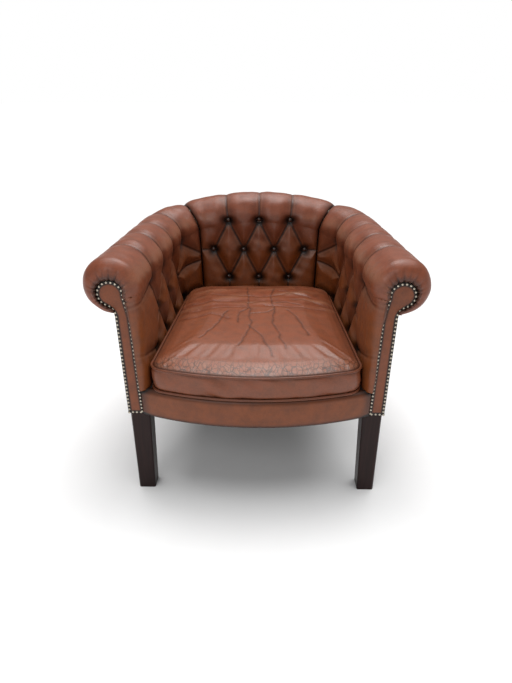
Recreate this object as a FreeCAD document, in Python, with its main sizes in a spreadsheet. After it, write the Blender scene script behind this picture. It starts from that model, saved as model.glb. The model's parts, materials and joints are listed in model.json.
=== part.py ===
import FreeCAD, Part
import Sketcher
import math
import os

# A buttoned leather tub armchair with scrolled arms: a beech frame on four legs, a webbed seat,
# stuffed and buttoned back and arms, and one loose seat cushion.
# Millimetres, +Z up. The origin is on the floor under the middle of the chair, the sitter faces -Y,
# and left and right are the viewer's, who looks along +Y: left is -X.

Vector = FreeCAD.Vector
UP = Vector(0, 0, 1)

document = FreeCAD.newDocument("ChesterfieldArmchair")
sheet = document.addObject("Spreadsheet::Sheet", "Sizes")

DRIVING_SIZES = [
    # Plan of the arms and the back, taken on the centre line of the scrolled roll
    ("arm_spacing", 684),
    ("arm_splay", 3.15),
    ("front_plane", 316),
    ("back_line", 315),
    ("corner_radius", 150),
    ("corner_tilt", 11.3),
    # The roll and the layers of the wall under it, measured inwards from the roll's centre line
    ("roll_radius", 65),
    ("wall_lap", 3),
    ("wall_rise", 10),
    ("cover_thickness", 14),
    ("panel_inset", 8),
    ("panel_thickness", 3),
    ("frame_thickness", 27),
    ("hessian_thickness", 1.5),
    ("fit_gap", 0.3),
    ("seam_angle", 68),
    # Heights, each built on the one before: legs, seat deck, roll's centre line
    ("leg_height", 249),
    ("seat_rise", 73),
    ("arm_rise", 275),
    ("rail_lift", 3),
    ("seat_build", 16),
    ("tack_rail_gap", 18),
    ("tack_rail_height", 30),
    ("arm_rail_drop", 52),
    ("arm_rail_height", 40),
    ("corner_rail_drop", 42),
    ("corner_rail_height", 43),
    ("back_rail_drop", 32),
    ("back_rail_height", 47),
    ("arm_panel_drop", 31),
    ("back_panel_drop", 7),
    ("back_post_width", 40),
    ("hessian_lap", 15),
    # Front of the arms, across from the roll's centre line: post, padded end and studded facing
    ("post_thickness", 22),
    ("post_side_gap", 2),
    ("facing_thickness", 6),
    ("end_pad_depth", 12),
    ("end_rounding", 20),
    ("edge_rounding", 16),
    ("facing_foot_reach", 50),
    ("facing_neck_reach", 43.5),
    ("facing_neck_inset", 4.5),
    ("facing_neck_drop", 73),
    ("facing_head_radius", 34),
    ("facing_head_drop", 17),
    ("post_head_radius", 30),
    ("nail_pitch", 10.5),
    ("nail_radius", 4),
    ("nail_height", 3),
    ("nail_inset", 4.5),
    # Legs
    ("leg_top", 51),
    ("leg_foot", 45),
    ("leg_inset", 13.5),
    ("leg_proud", 4),
    ("leg_edge", 3),
    ("stub_reach", 54),
    ("stub_length", 44),
    ("stub_setback", 1),
    ("back_leg_top", 44),
    ("back_leg_foot", 36),
    ("back_leg_inset", 70),
    ("back_leg_rake", 62),
    # Front of the seat
    ("front_bow", 56),
    ("front_rail_depth", 30),
    ("border_thickness", 6),
    # Seat suspension
    ("webbing_width", 50),
    ("webbing_thickness", 2),
    ("webbing_pitch", 100),
    ("webbing_lap", 18),
    ("deck_cloth_thickness", 1),
    # Buttoning
    ("button_radius", 7.5),
    ("button_rim", 2.5),
    ("button_dome", 3.5),
    ("tuft_depth", 9),
    ("tuft_radius", 19),
    ("pleat_depth", 5),
    ("pleat_width", 15),
    ("back_button_pitch", 104),
    ("back_row_rise", 26),
    ("back_row_pitch", 97),
    ("arm_button_pitch", 122),
    ("arm_first_button", 138),
    ("arm_row_drop", 30),
    ("arm_row_pitch", 96),
    # Seat cushion
    ("cushion_gap", 12),
    ("piping_radius", 3),
    ("cushion_corner", 40),
    ("cushion_setback", 4),
    ("cushion_side", 62),
    ("cushion_crown", 28),
    ("cushion_skin", 6),
    # Joinery
    ("block_thickness", 38),
    ("block_leg", 60),
    ("dowel_radius", 4),
    ("dowel_length", 36),
    ("screw_radius", 2.25),
    ("screw_length", 40),
]

for row, (alias, number) in enumerate(DRIVING_SIZES, start=1):
    sheet.set("A%d" % row, alias.replace("_", " "))
    sheet.set("B%d" % row, str(number))
    sheet.setAlias("B%d" % row, alias)
document.recompute()


class Size:
    """A length together with the sheet expression that it comes from."""

    def __init__(self, value, text):
        self.value = value
        self.text = text

    def joined(self, other, sign, value, swapped=False):
        left, right = self.text, as_size(other).text
        if swapped:
            left, right = right, left
        return Size(value, "(%s %s %s)" % (left, sign, right))

    def __add__(self, other):
        return self.joined(other, "+", self.value + as_size(other).value)

    __radd__ = __add__

    def __sub__(self, other):
        return self.joined(other, "-", self.value - as_size(other).value)

    def __rsub__(self, other):
        return self.joined(other, "-", as_size(other).value - self.value, swapped=True)

    def __mul__(self, other):
        return self.joined(other, "*", self.value * as_size(other).value)

    __rmul__ = __mul__

    def __truediv__(self, other):
        return self.joined(other, "/", self.value / as_size(other).value)

    def __neg__(self):
        return Size(-self.value, "(0 - %s)" % self.text)

    def __float__(self):
        return float(self.value)


def as_size(number):
    if isinstance(number, Size):
        return number
    return Size(float(number), repr(float(number)))


class Sizes:
    """Reads the sheet: size.name gives a Size, for expressions."""

    def __getattr__(self, alias):
        return Size(float(sheet.get(alias)), "Sizes.%s" % alias)


class Values:
    """Reads the sheet: value.name gives the plain number."""

    def __getattr__(self, alias):
        return float(sheet.get(alias))


size = Sizes()
value = Values()
sub_parts = []

# Heights of the seat deck and the roll, and what is hung or stood from them
deck_height = size.leg_height + size.seat_rise
seat_rail_height = size.seat_rise - size.rail_lift - size.seat_build
roll_height = deck_height + size.arm_rise
tack_rail_level = deck_height + size.tack_rail_gap
arm_rail_level = roll_height - size.arm_rail_drop
corner_rail_level = roll_height - size.corner_rail_drop
back_rail_level = roll_height - size.back_rail_drop
arm_panel_top = roll_height - size.arm_panel_drop
back_panel_top = roll_height - size.back_panel_drop
back_top_row = roll_height + size.back_row_rise
arm_top_row = roll_height - size.arm_row_drop

# The front of an arm, placed across from the roll's centre line
arm_axis = size.arm_spacing / 2
facing_inner_foot = arm_axis - size.facing_foot_reach
facing_outer_foot = arm_axis - size.panel_inset
facing_inner_neck = arm_axis - size.facing_neck_reach
facing_outer_neck = arm_axis - size.facing_neck_inset
facing_neck_level = roll_height - size.facing_neck_drop
leg_outer_face = arm_axis - size.leg_inset
stub_inner_face = arm_axis - size.stub_reach


def register(item, label):
    item.Label = label
    sub_parts.append(item)
    return item


def feature(label, shape):
    """A sub-part whose shape is worked out here from the sheet's values."""
    item = document.addObject("Part::Feature", label)
    item.Shape = shape
    item.Placement = shape.Placement
    return register(item, label)


def box(label, length, width, height, corner):
    """A board bound to the sheet: three sizes and the place of its lowest corner."""
    item = document.addObject("Part::Box", label)
    for name, amount in (("Length", length), ("Width", width), ("Height", height)):
        item.setExpression(name, as_size(amount).text)
    for axis, amount in zip("xyz", corner):
        item.setExpression("Placement.Base.%s" % axis, as_size(amount).text)
    return register(item, label)


def mirrored(label, source):
    """The same piece on the left: the right one mirrored in the chair's middle plane."""
    item = document.addObject("Part::Mirroring", label)
    item.Source = source
    item.Normal = Vector(1, 0, 0)
    item.Base = Vector(0, 0, 0)
    return register(item, label)


def pair(name, make):
    """Makes NAME_right with the given function and NAME_left as its mirror image."""
    right = make("%s_right" % name)
    mirrored("%s_left" % name, right)
    return right


def new_sketch(body, name, role, lift=None):
    """A sketch on one of the body's own origin planes, raised along the plane's normal."""
    plane = [item for item in body.Origin.OriginFeatures if item.Role == role][0]
    sketch = body.newObject("Sketcher::SketchObject", name)
    sketch.AttachmentSupport = [(plane, "")]
    sketch.MapMode = "FlatFace"
    if lift is not None:
        sketch.setExpression("AttachmentOffset.Base.z", as_size(lift).text)
    return sketch


def pin(sketch, geometry, point, place):
    """Ties one point of a sketch to two sheet expressions."""
    for kind, amount in zip(("DistanceX", "DistanceY"), place):
        index = sketch.addConstraint(Sketcher.Constraint(kind, -1, 1, geometry, point, amount.value))
        sketch.setExpression("Constraints[%d]" % index, amount.text)


def arc_between(start, end, radius, side):
    """The arc of under half a circle from start to end; side 1 bulges to the right of the way."""
    chord = end - start
    half = chord.Length / 2
    normal = Vector(chord.y, -chord.x, 0).normalize() * side
    sagitta = radius - math.sqrt(radius * radius - half * half)
    return Part.Arc(start, (start + end) * 0.5 + normal * sagitta, end)


def outline(sketch, corners):
    """A closed outline. Each corner is (x, y), or (x, y, radius, side) where an arc leaves it."""
    places = [tuple(as_size(amount) for amount in corner[:2]) for corner in corners]
    following = places[1:] + places[:1]
    for corner, place, after in zip(corners, places, following):
        start = Vector(place[0].value, place[1].value, 0)
        end = Vector(after[0].value, after[1].value, 0)
        if len(corner) == 2:
            index = sketch.addGeometry(Part.LineSegment(start, end))
            first, last = 1, 2
        else:
            radius, side = as_size(corner[2]), corner[3]
            index = sketch.addGeometry(arc_between(start, end, radius.value, side))
            begins = sketch.Geometry[index].StartPoint
            first, last = (1, 2) if begins.isEqual(start, 1e-6) else (2, 1)
            held = sketch.addConstraint(Sketcher.Constraint("Radius", index, radius.value))
            sketch.setExpression("Constraints[%d]" % held, radius.text)
        pin(sketch, index, first, place)
        pin(sketch, index, last, after)


def padded(label, role, corners, depth, lift=None, backwards=False):
    """A body: one outline on an origin plane, padded by the given depth."""
    body = document.addObject("PartDesign::Body", label)
    sketch = new_sketch(body, label + "_outline", role, lift)
    outline(sketch, corners)
    pad = body.newObject("PartDesign::Pad", label + "_pad")
    pad.Profile = sketch
    pad.setExpression("Length", as_size(depth).text)
    pad.Reversed = backwards
    return register(body, label)


# Cutting shapes reach this far past what they cut, well past it or only just.
SPARE = value.end_rounding
SURFACE_LIFT = value.pleat_depth / 5

# Plan of the horseshoe. An offset is measured inwards from the centre line of the roll.
SPLAY = math.radians(value.arm_splay)
TILT = math.radians(value.corner_tilt)
ARM_WAY = Vector(-math.sin(SPLAY), math.cos(SPLAY), 0)
ARM_INWARDS = Vector(-math.cos(SPLAY), -math.sin(SPLAY), 0)
PLAN_RADIUS = value.corner_radius * (1 + math.cos(TILT)) / 2


def arm_x(offset, y):
    """Where the right arm's offset line stands at a given y."""
    return value.arm_spacing / 2 - offset / math.cos(SPLAY) - (y + value.front_plane) * math.tan(SPLAY)


def corner_centre():
    """Centre of the right back corner in plan."""
    y = value.back_line - PLAN_RADIUS
    straight = (y + PLAN_RADIUS * math.sin(SPLAY) + value.front_plane) / math.cos(SPLAY)
    x = value.arm_spacing / 2 - straight * math.sin(SPLAY) - PLAN_RADIUS * math.cos(SPLAY)
    return Vector(x, y, 0)


CENTRE = corner_centre()


def corner_point(offset, degrees):
    angle = math.radians(degrees)
    return CENTRE + Vector(math.cos(angle), math.sin(angle), 0) * (PLAN_RADIUS - offset)


def flipped(point):
    return Vector(-point.x, point.y, point.z)


def arc(start, middle, end):
    return Part.Arc(start, middle, end).toShape()


def side_edges(offset, front):
    """The arm's line and the back corner's arc, on the right."""
    start = Vector(arm_x(offset, front), front, 0)
    turn = corner_point(offset, value.arm_splay)
    middle = corner_point(offset, (value.arm_splay + 90) / 2)
    return [Part.makeLine(start, turn), arc(turn, middle, corner_point(offset, 90))]


def horseshoe_edges(offset, front):
    """The whole plan line at an offset: right arm, corner, back, corner, left arm."""
    right = side_edges(offset, front)
    end = corner_point(offset, 90)
    back = Part.makeLine(end, flipped(end))
    left = [edge.mirror(Vector(), Vector(1, 0, 0)) for edge in right]
    return right + [back] + left


def filled(edges):
    return Part.Face(Part.Wire(Part.__sortEdges__(edges)))


def prism(face, bottom, top):
    solid = face.extrude(UP * (top - bottom))
    solid.translate(UP * bottom)
    return solid


def block(x_range, y_range, z_range):
    low, high = zip(x_range, y_range, z_range)
    return Part.makeBox(*[b - a for a, b in zip(low, high)], Vector(*low))


def uprights(prism_shape):
    """The upright edges of a prism."""
    return [edge for edge in prism_shape.Edges if edge.Vertexes[0].Z != edge.Vertexes[-1].Z]


def solid_of(corner_lists):
    """A solid bounded by flat facets."""
    faces = [Part.Face(Part.makePolygon(corners + corners[:1])) for corners in corner_lists]
    solid = Part.Solid(Part.Shell(faces))
    if solid.Volume < 0:
        solid.reverse()
    return solid


def skin_between(low, high):
    """The facets between two rings of corners."""
    pairs = zip(low, low[1:] + low[:1], high[1:] + high[:1], high)
    return [list(corners) for corners in pairs]


def stacked(rings):
    """A solid through rings of corners whose sides stay parallel, closed at both ends."""
    facets = [rings[0], rings[-1]]
    for low, high in zip(rings, rings[1:]):
        facets += skin_between(low, high)
    return solid_of(facets)


def ring_points(place, turn, sides, radius):
    """The corners of a regular ring about a place, in the plane that the turn carries XY to."""
    angles = [2 * math.pi * (step + 0.5) / sides for step in range(sides)]
    return [place + turn.multVec(Vector(radius * math.cos(angle), radius * math.sin(angle), 0))
            for angle in angles]


def faceted(place, way, sides, sections):
    """A many-sided pin or dome: (distance, radius) sections along a way, joined by flat facets."""
    turn = FreeCAD.Rotation(UP, way)
    along = Vector(way).normalize()
    return stacked([ring_points(place + along * distance, turn, sides, radius)
                    for distance, radius in sections])


def band(outer, inner, front, bottom, top):
    """A wall of the horseshoe between two offsets, from the front plane of one arm to the other."""
    outside = horseshoe_edges(outer, front)
    inside = horseshoe_edges(inner, front)
    ends = []
    for turn in (lambda point: point, flipped):
        first = turn(Vector(arm_x(outer, front), front, 0))
        second = turn(Vector(arm_x(inner, front), front, 0))
        ends.append(Part.makeLine(first, second))
    return prism(filled(outside + inside + ends), bottom, top)


def arm_band(outer, inner, front, bottom, top):
    """The straight part of the band on the right."""
    corners = [
        Vector(arm_x(outer, front), front, 0),
        Vector(arm_x(inner, front), front, 0),
        corner_point(inner, value.arm_splay),
        corner_point(outer, value.arm_splay),
    ]
    return prism(Part.Face(Part.makePolygon(corners + corners[:1])), bottom, top)


def corner_band(outer, inner, bottom, top):
    """The curved part of the band on the right."""
    angles = (value.arm_splay, (value.arm_splay + 90) / 2, 90)
    edges = [arc(*[corner_point(offset, angle) for angle in angles]) for offset in (outer, inner)]
    for angle in (angles[0], angles[2]):
        edges.append(Part.makeLine(corner_point(outer, angle), corner_point(inner, angle)))
    return prism(filled(edges), bottom, top)


def back_band(outer, inner, bottom, top):
    """The straight part of the band across the back."""
    half = CENTRE.x
    y = value.back_line
    return block((-half, half), (y - inner, y - outer), (bottom, top))


# The roll's centre line climbs and turns at once round each back corner: an arc in a plane tilted
# about the arm, which meets an arch that stands in the plane of the back.
class RollPath:
    """The right half of the roll's centre line: arm, tilted corner arc and half of the arch."""

    def __init__(self):
        lean = ARM_INWARDS * math.cos(TILT) + UP * math.sin(TILT)
        radius = value.corner_radius
        self.turn = math.atan2(math.cos(SPLAY), math.sin(SPLAY) * math.cos(TILT))

        def along(angle):
            return ARM_WAY * (radius * math.sin(angle)) + lean * (radius * (1 - math.cos(angle)))

        self.start = Vector(arm_axis.value, -value.front_plane, roll_height.value)
        straight = (value.back_line - along(self.turn).y - self.start.y) / ARM_WAY.y
        self.begin = self.start + ARM_WAY * straight
        self.end = self.begin + along(self.turn)
        self.middle = self.begin + along(self.turn / 2)
        self.centre = self.begin + lean * radius
        self.axis = ARM_WAY.cross(lean)
        slope = math.asin(math.sin(self.turn) * math.sin(TILT))
        self.slope = slope
        self.end_way = Vector(-math.cos(slope), 0, math.sin(slope))
        arch_radius = self.end.x / math.sin(slope)
        self.arch_centre = Vector(0, self.end.y, self.end.z - arch_radius * math.cos(slope))
        self.crown = self.arch_centre + UP * arch_radius

    def edges(self):
        right = [Part.makeLine(self.start, self.begin), arc(self.begin, self.middle, self.end)]
        return right, arc(self.end, self.crown, flipped(self.end))


ROLL_PATH = RollPath()
OUTER_SIDES = 16
CORE_SIDES = 10
CORNER_STEPS = 6
ARCH_STEPS = 8


def turned(points, centre, axis, angle):
    """The points carried round an axis."""
    turn = FreeCAD.Rotation(axis, math.degrees(angle))
    return [centre + turn.multVec(point - centre) for point in points]


def roll(radius, front, sides):
    """The solid roll: a many-sided bar carried round the horseshoe in flat facets, cut square in front."""
    path = ROLL_PATH
    outwards = UP.cross(path.end_way).normalize()
    upwards = path.end_way.cross(outwards)
    even = radius / math.sqrt(math.cos(math.pi / sides))
    angles = [2 * math.pi * (side + 0.5) / sides for side in range(sides)]
    joint = [path.end + outwards * (even * math.cos(angle)) + upwards * (even * math.sin(angle))
             for angle in angles]
    begin = turned(joint, path.centre, path.axis, -path.turn)
    run = (path.begin - path.start).Length + 2 * SPARE
    right = [[point - ARM_WAY * run for point in begin]]
    right += [turned(begin, path.centre, path.axis, path.turn * step / CORNER_STEPS)
              for step in range(CORNER_STEPS + 1)]
    arch = [turned(joint, path.arch_centre, Vector(0, -1, 0), 2 * path.slope * step / ARCH_STEPS)
            for step in range(1, ARCH_STEPS)]
    left = [[flipped(point) for point in ring] for ring in right[::-1]]
    bar = stacked(right + arch + left)
    reach = value.arm_spacing
    return bar.cut(block((-reach, reach), (front - reach, front), (0, 2 * reach)))


class Frame:
    """A place on a path, with its way along, its way in towards the sitter, and up."""

    def __init__(self, point, way):
        self.point = point
        self.way = way.normalize()
        self.inwards = UP.cross(self.way).normalize()


def frame_at(edges, length):
    """The frame at a length along edges that run on from one another."""
    for edge in edges:
        if length <= edge.Length or edge is edges[-1]:
            parameter = edge.getParameterByLength(min(length, edge.Length))
            return Frame(edge.valueAt(parameter), edge.tangentAt(parameter))
        length -= edge.Length


INNER_FACE = value.roll_radius - value.wall_lap
PANEL_INSIDE = value.panel_inset + value.panel_thickness
FRAME_INSIDE = PANEL_INSIDE + value.frame_thickness
HESSIAN_INSIDE = FRAME_INSIDE + value.hessian_thickness
COVER_OUTSIDE = INNER_FACE - value.cover_thickness
RAIL_BOTTOM = value.leg_height + value.rail_lift
RAIL_TOP = RAIL_BOTTOM + seat_rail_height.value
POST_FACE = -value.front_plane
POST_BACK = POST_FACE + value.post_thickness
STUB_BACK = POST_FACE + value.stub_length
ARM_RAIL_TOP = arm_rail_level.value + value.arm_rail_height
CORNER_RAIL_TOP = corner_rail_level.value + value.corner_rail_height
BACK_RAIL_TOP = back_rail_level.value + value.back_rail_height
WALL_BOTTOM = deck_height.value + value.fit_gap

# The front of the seat bows forward between the legs, on arcs with one centre.
BOW_RADIUS = (stub_inner_face.value ** 2 + value.front_bow ** 2) / (2 * value.front_bow)
BOW_CENTRE = POST_FACE - value.front_bow + BOW_RADIUS


def bow_y(x, deeper):
    """Where the bowed front stands at x, a given depth behind the rail's face."""
    return BOW_CENTRE - math.sqrt((BOW_RADIUS - deeper) ** 2 - x * x)


def bow_arc(deeper, half):
    ends = [Vector(x, bow_y(x, deeper), 0) for x in (-half, half)]
    return arc(ends[0], Vector(0, bow_y(0, deeper), 0), ends[1])


def region(side):
    """The space of the right arm, or of the back, parted by the upright planes of the seams."""
    far = 2 * value.arm_spacing
    angle = math.radians(value.seam_angle)
    seam_end = CENTRE + Vector(math.cos(angle), math.sin(angle), 0) * far
    if side == "arm":
        corners = [
            Vector(SPARE, -far, 0),
            Vector(far, -far, 0),
            Vector(far, seam_end.y, 0),
            seam_end,
            CENTRE,
            Vector(SPARE, CENTRE.y, 0),
        ]
    else:
        corners = [CENTRE, seam_end, flipped(seam_end), flipped(CENTRE)]
    return prism(Part.Face(Part.makePolygon(corners + corners[:1])), -far, far)


ARM_REGION = region("arm")
BACK_REGION = region("back")


# Joinery: dowels across the butt joints of the curved frame, and screws through the corner blocks.
TIGHT = value.fit_gap / 3


def dowel_places():
    """Middle and direction of each dowel on the right half of the frame."""
    middle_offset = (PANEL_INSIDE + FRAME_INSIDE) / 2
    joints = []
    levels = (
        (RAIL_BOTTOM, RAIL_TOP, RAIL_BOTTOM, RAIL_TOP),
        (corner_rail_level.value, ARM_RAIL_TOP, back_rail_level.value, CORNER_RAIL_TOP),
    )
    for low, high, back_low, back_high in levels:
        third = (high - low) / 3
        back_third = (back_high - back_low) / 3
        for step in (1, 2):
            side = corner_point(middle_offset, value.arm_splay) + UP * (low + third * step)
            back = corner_point(middle_offset, 90) + UP * (back_low + back_third * step)
            joints.append((side, ARM_WAY))
            joints.append((back, Vector(1, 0, 0)))
    return joints


def dowel(place, way, radius, length):
    """A fluted dowel."""
    return faceted(place - way * (length / 2), way, DOWEL_FLUTES, [(0, radius), (length, radius)])


DOWEL_FLUTES = 6


def dowel_holes():
    radius, length = value.dowel_radius + TIGHT, value.dowel_length + 2 * TIGHT
    return [dowel(place, way, radius, length) for place, way in dowel_places()]


HOLES = dowel_holes()
HOLES = HOLES + [hole.mirror(Vector(), Vector(1, 0, 0)) for hole in HOLES]


def drilled(shape):
    """The piece with the dowel holes that reach into it."""
    box_here = shape.BoundBox
    reaching = [hole for hole in HOLES if box_here.intersect(hole.BoundBox)]
    return shape.cut(reaching) if reaching else shape


def screw_places():
    """Head end and direction of each corner block screw, on the right."""
    level = RAIL_BOTTOM + value.block_thickness / 2
    depth = value.screw_length
    y = STUB_BACK + value.block_leg / 3
    side = Vector(arm_x(FRAME_INSIDE, y) + depth / 3 - depth, y, level)
    x = stub_inner_face.value - value.block_leg / 3
    front = Vector(x, bow_y(x, value.front_rail_depth) - depth / 3 + depth, level)
    places = [(side, Vector(1, 0, 0)), (front, Vector(0, -1, 0))]
    for angle in (BLOCK_SCREW_ANGLE, 90 - BLOCK_SCREW_ANGLE):
        way = corner_point(0, angle) - CENTRE
        way.normalize()
        head = corner_point(FRAME_INSIDE, angle) + way * (depth / 3 - depth)
        places.append((head + UP * level, way))
    return places


BLOCK_SCREW_ANGLE = 15
SCREW_HEAD = 2


def screw(place, way, clearance, countersink=0):
    """A countersunk screw; the hole for it runs on out to the block's free face."""
    shank = value.screw_radius + clearance
    head = SCREW_HEAD * value.screw_radius + clearance
    sections = [(0, head), (value.screw_radius, shank), (value.screw_length + clearance, shank)]
    if countersink:
        sections.insert(0, (-countersink, head))
    return faceted(place, way, SCREW_FACETS, sections)


SCREW_FACETS = 5


def screwed(shape):
    """The piece with the screw holes that reach into it."""
    return shape.cut([screw(place, way, TIGHT, value.block_leg) for place, way in screw_places()])


# Frame: seat rails
def side_feature(name, make):
    """A worked-out piece on the right, and its mirror image on the left."""
    return pair(name, lambda label: feature(label, make()))


side_feature("side_seat_rail", lambda: screwed(drilled(
    arm_band(PANEL_INSIDE, FRAME_INSIDE, STUB_BACK, RAIL_BOTTOM, RAIL_TOP))))
side_feature("corner_seat_rail", lambda: screwed(drilled(
    corner_band(PANEL_INSIDE, FRAME_INSIDE, RAIL_BOTTOM, RAIL_TOP))))
feature("back_seat_rail", drilled(back_band(PANEL_INSIDE, FRAME_INSIDE, RAIL_BOTTOM, RAIL_TOP)))


def front_seat_rail():
    half = stub_inner_face.value
    edges = [bow_arc(0, half), bow_arc(value.front_rail_depth, half)]
    for x in (-half, half):
        ends = [Vector(x, bow_y(x, deeper), 0) for deeper in (0, value.front_rail_depth)]
        edges.append(Part.makeLine(*ends))
    rail = screwed(prism(filled(edges), RAIL_BOTTOM, RAIL_TOP))
    return screwed(rail.mirror(Vector(), Vector(1, 0, 0)))


feature("front_seat_rail", front_seat_rail())


# Frame: posts and upper rails
NECK_HOLLOW = 0.8
FACING_HEAD_START = -65
HEAD_END = 190
head_level = roll_height - size.facing_head_drop


def scroll_outline(foot_level, feet, necks, neck_levels, head_radius, head_start, hollow=()):
    """The outline of a facing or a post: a strip that swells into a round head leaning outwards."""
    def on_head(degrees):
        angle = math.radians(degrees)
        return arm_axis + head_radius * math.cos(angle), head_level + head_radius * math.sin(angle)

    return [
        (feet[0], foot_level),
        (feet[1], foot_level),
        (necks[1], neck_levels[1]) + hollow,
        on_head(head_start) + (head_radius, 1),
        on_head(90) + (head_radius, 1),
        on_head(HEAD_END),
        (necks[0], neck_levels[0]),
    ]


post_inner = arm_axis - size.panel_inset - size.panel_thickness - size.frame_thickness
post_outer = arm_axis - size.panel_inset - size.panel_thickness - size.post_side_gap
rail_top = size.leg_height + size.rail_lift + seat_rail_height


def arm_post(label):
    """An upright whose head leans out over the top edge of the outside cover."""
    ledge = arm_panel_top + size.fit_gap
    head_start = math.degrees(math.asin((ledge - head_level).value / value.post_head_radius))
    corners = scroll_outline(rail_top, (post_inner, post_outer), (post_inner, post_outer),
                             (facing_neck_level, ledge), size.post_head_radius, head_start)
    return padded(label, "XZ_Plane", corners, size.post_thickness, lift=size.front_plane, backwards=True)


pair("arm_post", arm_post)

side_feature("arm_top_rail", lambda: drilled(
    arm_band(PANEL_INSIDE, FRAME_INSIDE, POST_BACK, arm_rail_level.value, ARM_RAIL_TOP)))
side_feature("corner_top_rail", lambda: drilled(
    corner_band(PANEL_INSIDE, FRAME_INSIDE, corner_rail_level.value, CORNER_RAIL_TOP)))

tack_top = tack_rail_level.value + value.tack_rail_height
side_feature("arm_tack_rail", lambda: arm_band(
    PANEL_INSIDE, FRAME_INSIDE, POST_BACK, tack_rail_level.value, tack_top))
side_feature("corner_tack_rail", lambda: corner_band(
    PANEL_INSIDE, FRAME_INSIDE, tack_rail_level.value, tack_top))


def back_top_rail():
    """The back's top rail: flat below, arched above like the roll over it."""
    half = CENTRE.x
    rise = value.back_rail_height - (CORNER_RAIL_TOP - back_rail_level.value)
    corners = [Vector(x, 0, z) for x, z in (
        (half, CORNER_RAIL_TOP), (half, back_rail_level.value),
        (-half, back_rail_level.value), (-half, CORNER_RAIL_TOP))]
    edges = [Part.makeLine(a, b) for a, b in zip(corners, corners[1:])]
    edges.append(arc(corners[3], Vector(0, 0, CORNER_RAIL_TOP + rise), corners[0]))
    rail = filled(edges).extrude(Vector(0, value.frame_thickness, 0))
    rail.translate(Vector(0, value.back_line - FRAME_INSIDE, 0))
    return drilled(rail)


feature("back_top_rail", back_top_rail())

back_post_y = size.back_line - size.panel_inset - size.panel_thickness - size.frame_thickness


def back_post_right(label):
    """A square post of the back, standing on the back seat rail beside the corner."""
    return box(label, size.back_post_width, size.frame_thickness, back_rail_level - rail_top,
               (CENTRE.x - size.back_post_width, back_post_y, rail_top))


pair("back_post", back_post_right)
back_tack_half = CENTRE.x - size.back_post_width
box("back_tack_rail", 2 * back_tack_half, size.frame_thickness, size.tack_rail_height,
    (-back_tack_half, back_post_y, tack_rail_level))


# Frame: legs and corner blocks
def front_leg(label):
    """A square leg, tapered inside and behind, with a stub that the rails butt against."""
    front = size.front_plane + size.leg_proud
    taper = document.addObject("Part::Wedge", label + "_taper")
    taper.Placement.Rotation = FreeCAD.Rotation(Vector(1, 0, 0), 90)
    limits = {"Ymin": 0, "Ymax": size.leg_height}
    for part_of_name, width in (("", size.leg_foot), ("2", size.leg_top)):
        limits["X%smin" % part_of_name] = leg_outer_face - width
        limits["X%smax" % part_of_name] = leg_outer_face
        limits["Z%smin" % part_of_name] = front - width
        limits["Z%smax" % part_of_name] = front
    for name in ("X2max", "Z2max", "Xmax", "Ymax", "Zmax", "Xmin", "Ymin", "Zmin", "X2min", "Z2min"):
        taper.setExpression(name, as_size(limits[name]).text)
    document.recompute()
    upright = [number for number, edge in enumerate(taper.Shape.Edges, start=1)
               if edge.Length > value.leg_height - 1]
    eased = document.addObject("Part::Chamfer", label + "_eased")
    eased.Base = taper
    eased.Edges = [(number, value.leg_edge, value.leg_edge) for number in upright]
    stub = document.addObject("Part::Box", label + "_stub")
    stub.setExpression("Length", (leg_outer_face - stub_inner_face - size.stub_setback).text)
    stub.setExpression("Width", size.stub_length.text)
    stub.setExpression("Height", (size.rail_lift + seat_rail_height).text)
    for axis, amount in zip("xyz", (stub_inner_face, -size.front_plane, size.leg_height)):
        stub.setExpression("Placement.Base.%s" % axis, amount.text)
    leg = document.addObject("Part::MultiFuse", label)
    leg.Shapes = [eased, stub]
    leg.Refine = True
    return register(leg, label)


pair("front_leg", front_leg)


def square_corners(centre, width, level):
    half = width / 2
    return [centre + Vector(x, y, level) for x, y in (
        (-half, -half), (half, -half), (half, half), (-half, half))]


def back_leg_centre():
    way = Vector(1, 1, 0).normalize()
    return CENTRE + way * value.back_leg_inset


def back_leg_head(clearance):
    """The upright head of a back leg, between the rails."""
    width = value.back_leg_top + 2 * clearance
    return stacked([square_corners(back_leg_centre(), width, level)
                    for level in (value.leg_height, RAIL_TOP)])


def back_leg():
    """A raked and tapered back leg under its head."""
    centre = back_leg_centre()
    foot_centre = centre + Vector(0, value.back_leg_rake, 0)
    return stacked([
        square_corners(foot_centre, value.back_leg_foot, 0),
        square_corners(centre, value.back_leg_top, value.leg_height),
        square_corners(centre, value.back_leg_top, RAIL_TOP),
    ])


side_feature("back_leg", back_leg)


def front_block():
    """A glue block across the corner of front rail, leg stub and side rail."""
    inner = stub_inner_face.value
    reach = value.block_leg
    depth = value.front_rail_depth
    corners = [
        Vector(inner, bow_y(inner, depth), 0),
        Vector(inner, STUB_BACK, 0),
        Vector(arm_x(FRAME_INSIDE, STUB_BACK), STUB_BACK, 0),
        Vector(arm_x(FRAME_INSIDE, STUB_BACK + reach), STUB_BACK + reach, 0),
        Vector(inner - reach, bow_y(inner - reach, depth), 0),
    ]
    face = Part.Face(Part.makePolygon(corners + corners[:1]))
    return screwed(prism(face, RAIL_BOTTOM, RAIL_BOTTOM + value.block_thickness))


def back_block():
    """A quadrant block in the back corner, notched round the leg's head."""
    offset = FRAME_INSIDE + value.fit_gap
    angles = (value.arm_splay, (value.arm_splay + 90) / 2, 90)
    edges = [arc(*[corner_point(offset, angle) for angle in angles])]
    for angle in (angles[0], angles[2]):
        edges.append(Part.makeLine(CENTRE, corner_point(offset, angle)))
    quadrant = prism(filled(edges), RAIL_BOTTOM, RAIL_BOTTOM + value.block_thickness)
    return screwed(quadrant.cut(back_leg_head(TIGHT)))


def with_mirror(solids):
    return Part.makeCompound(solids + [solid.mirror(Vector(), Vector(1, 0, 0)) for solid in solids])


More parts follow.
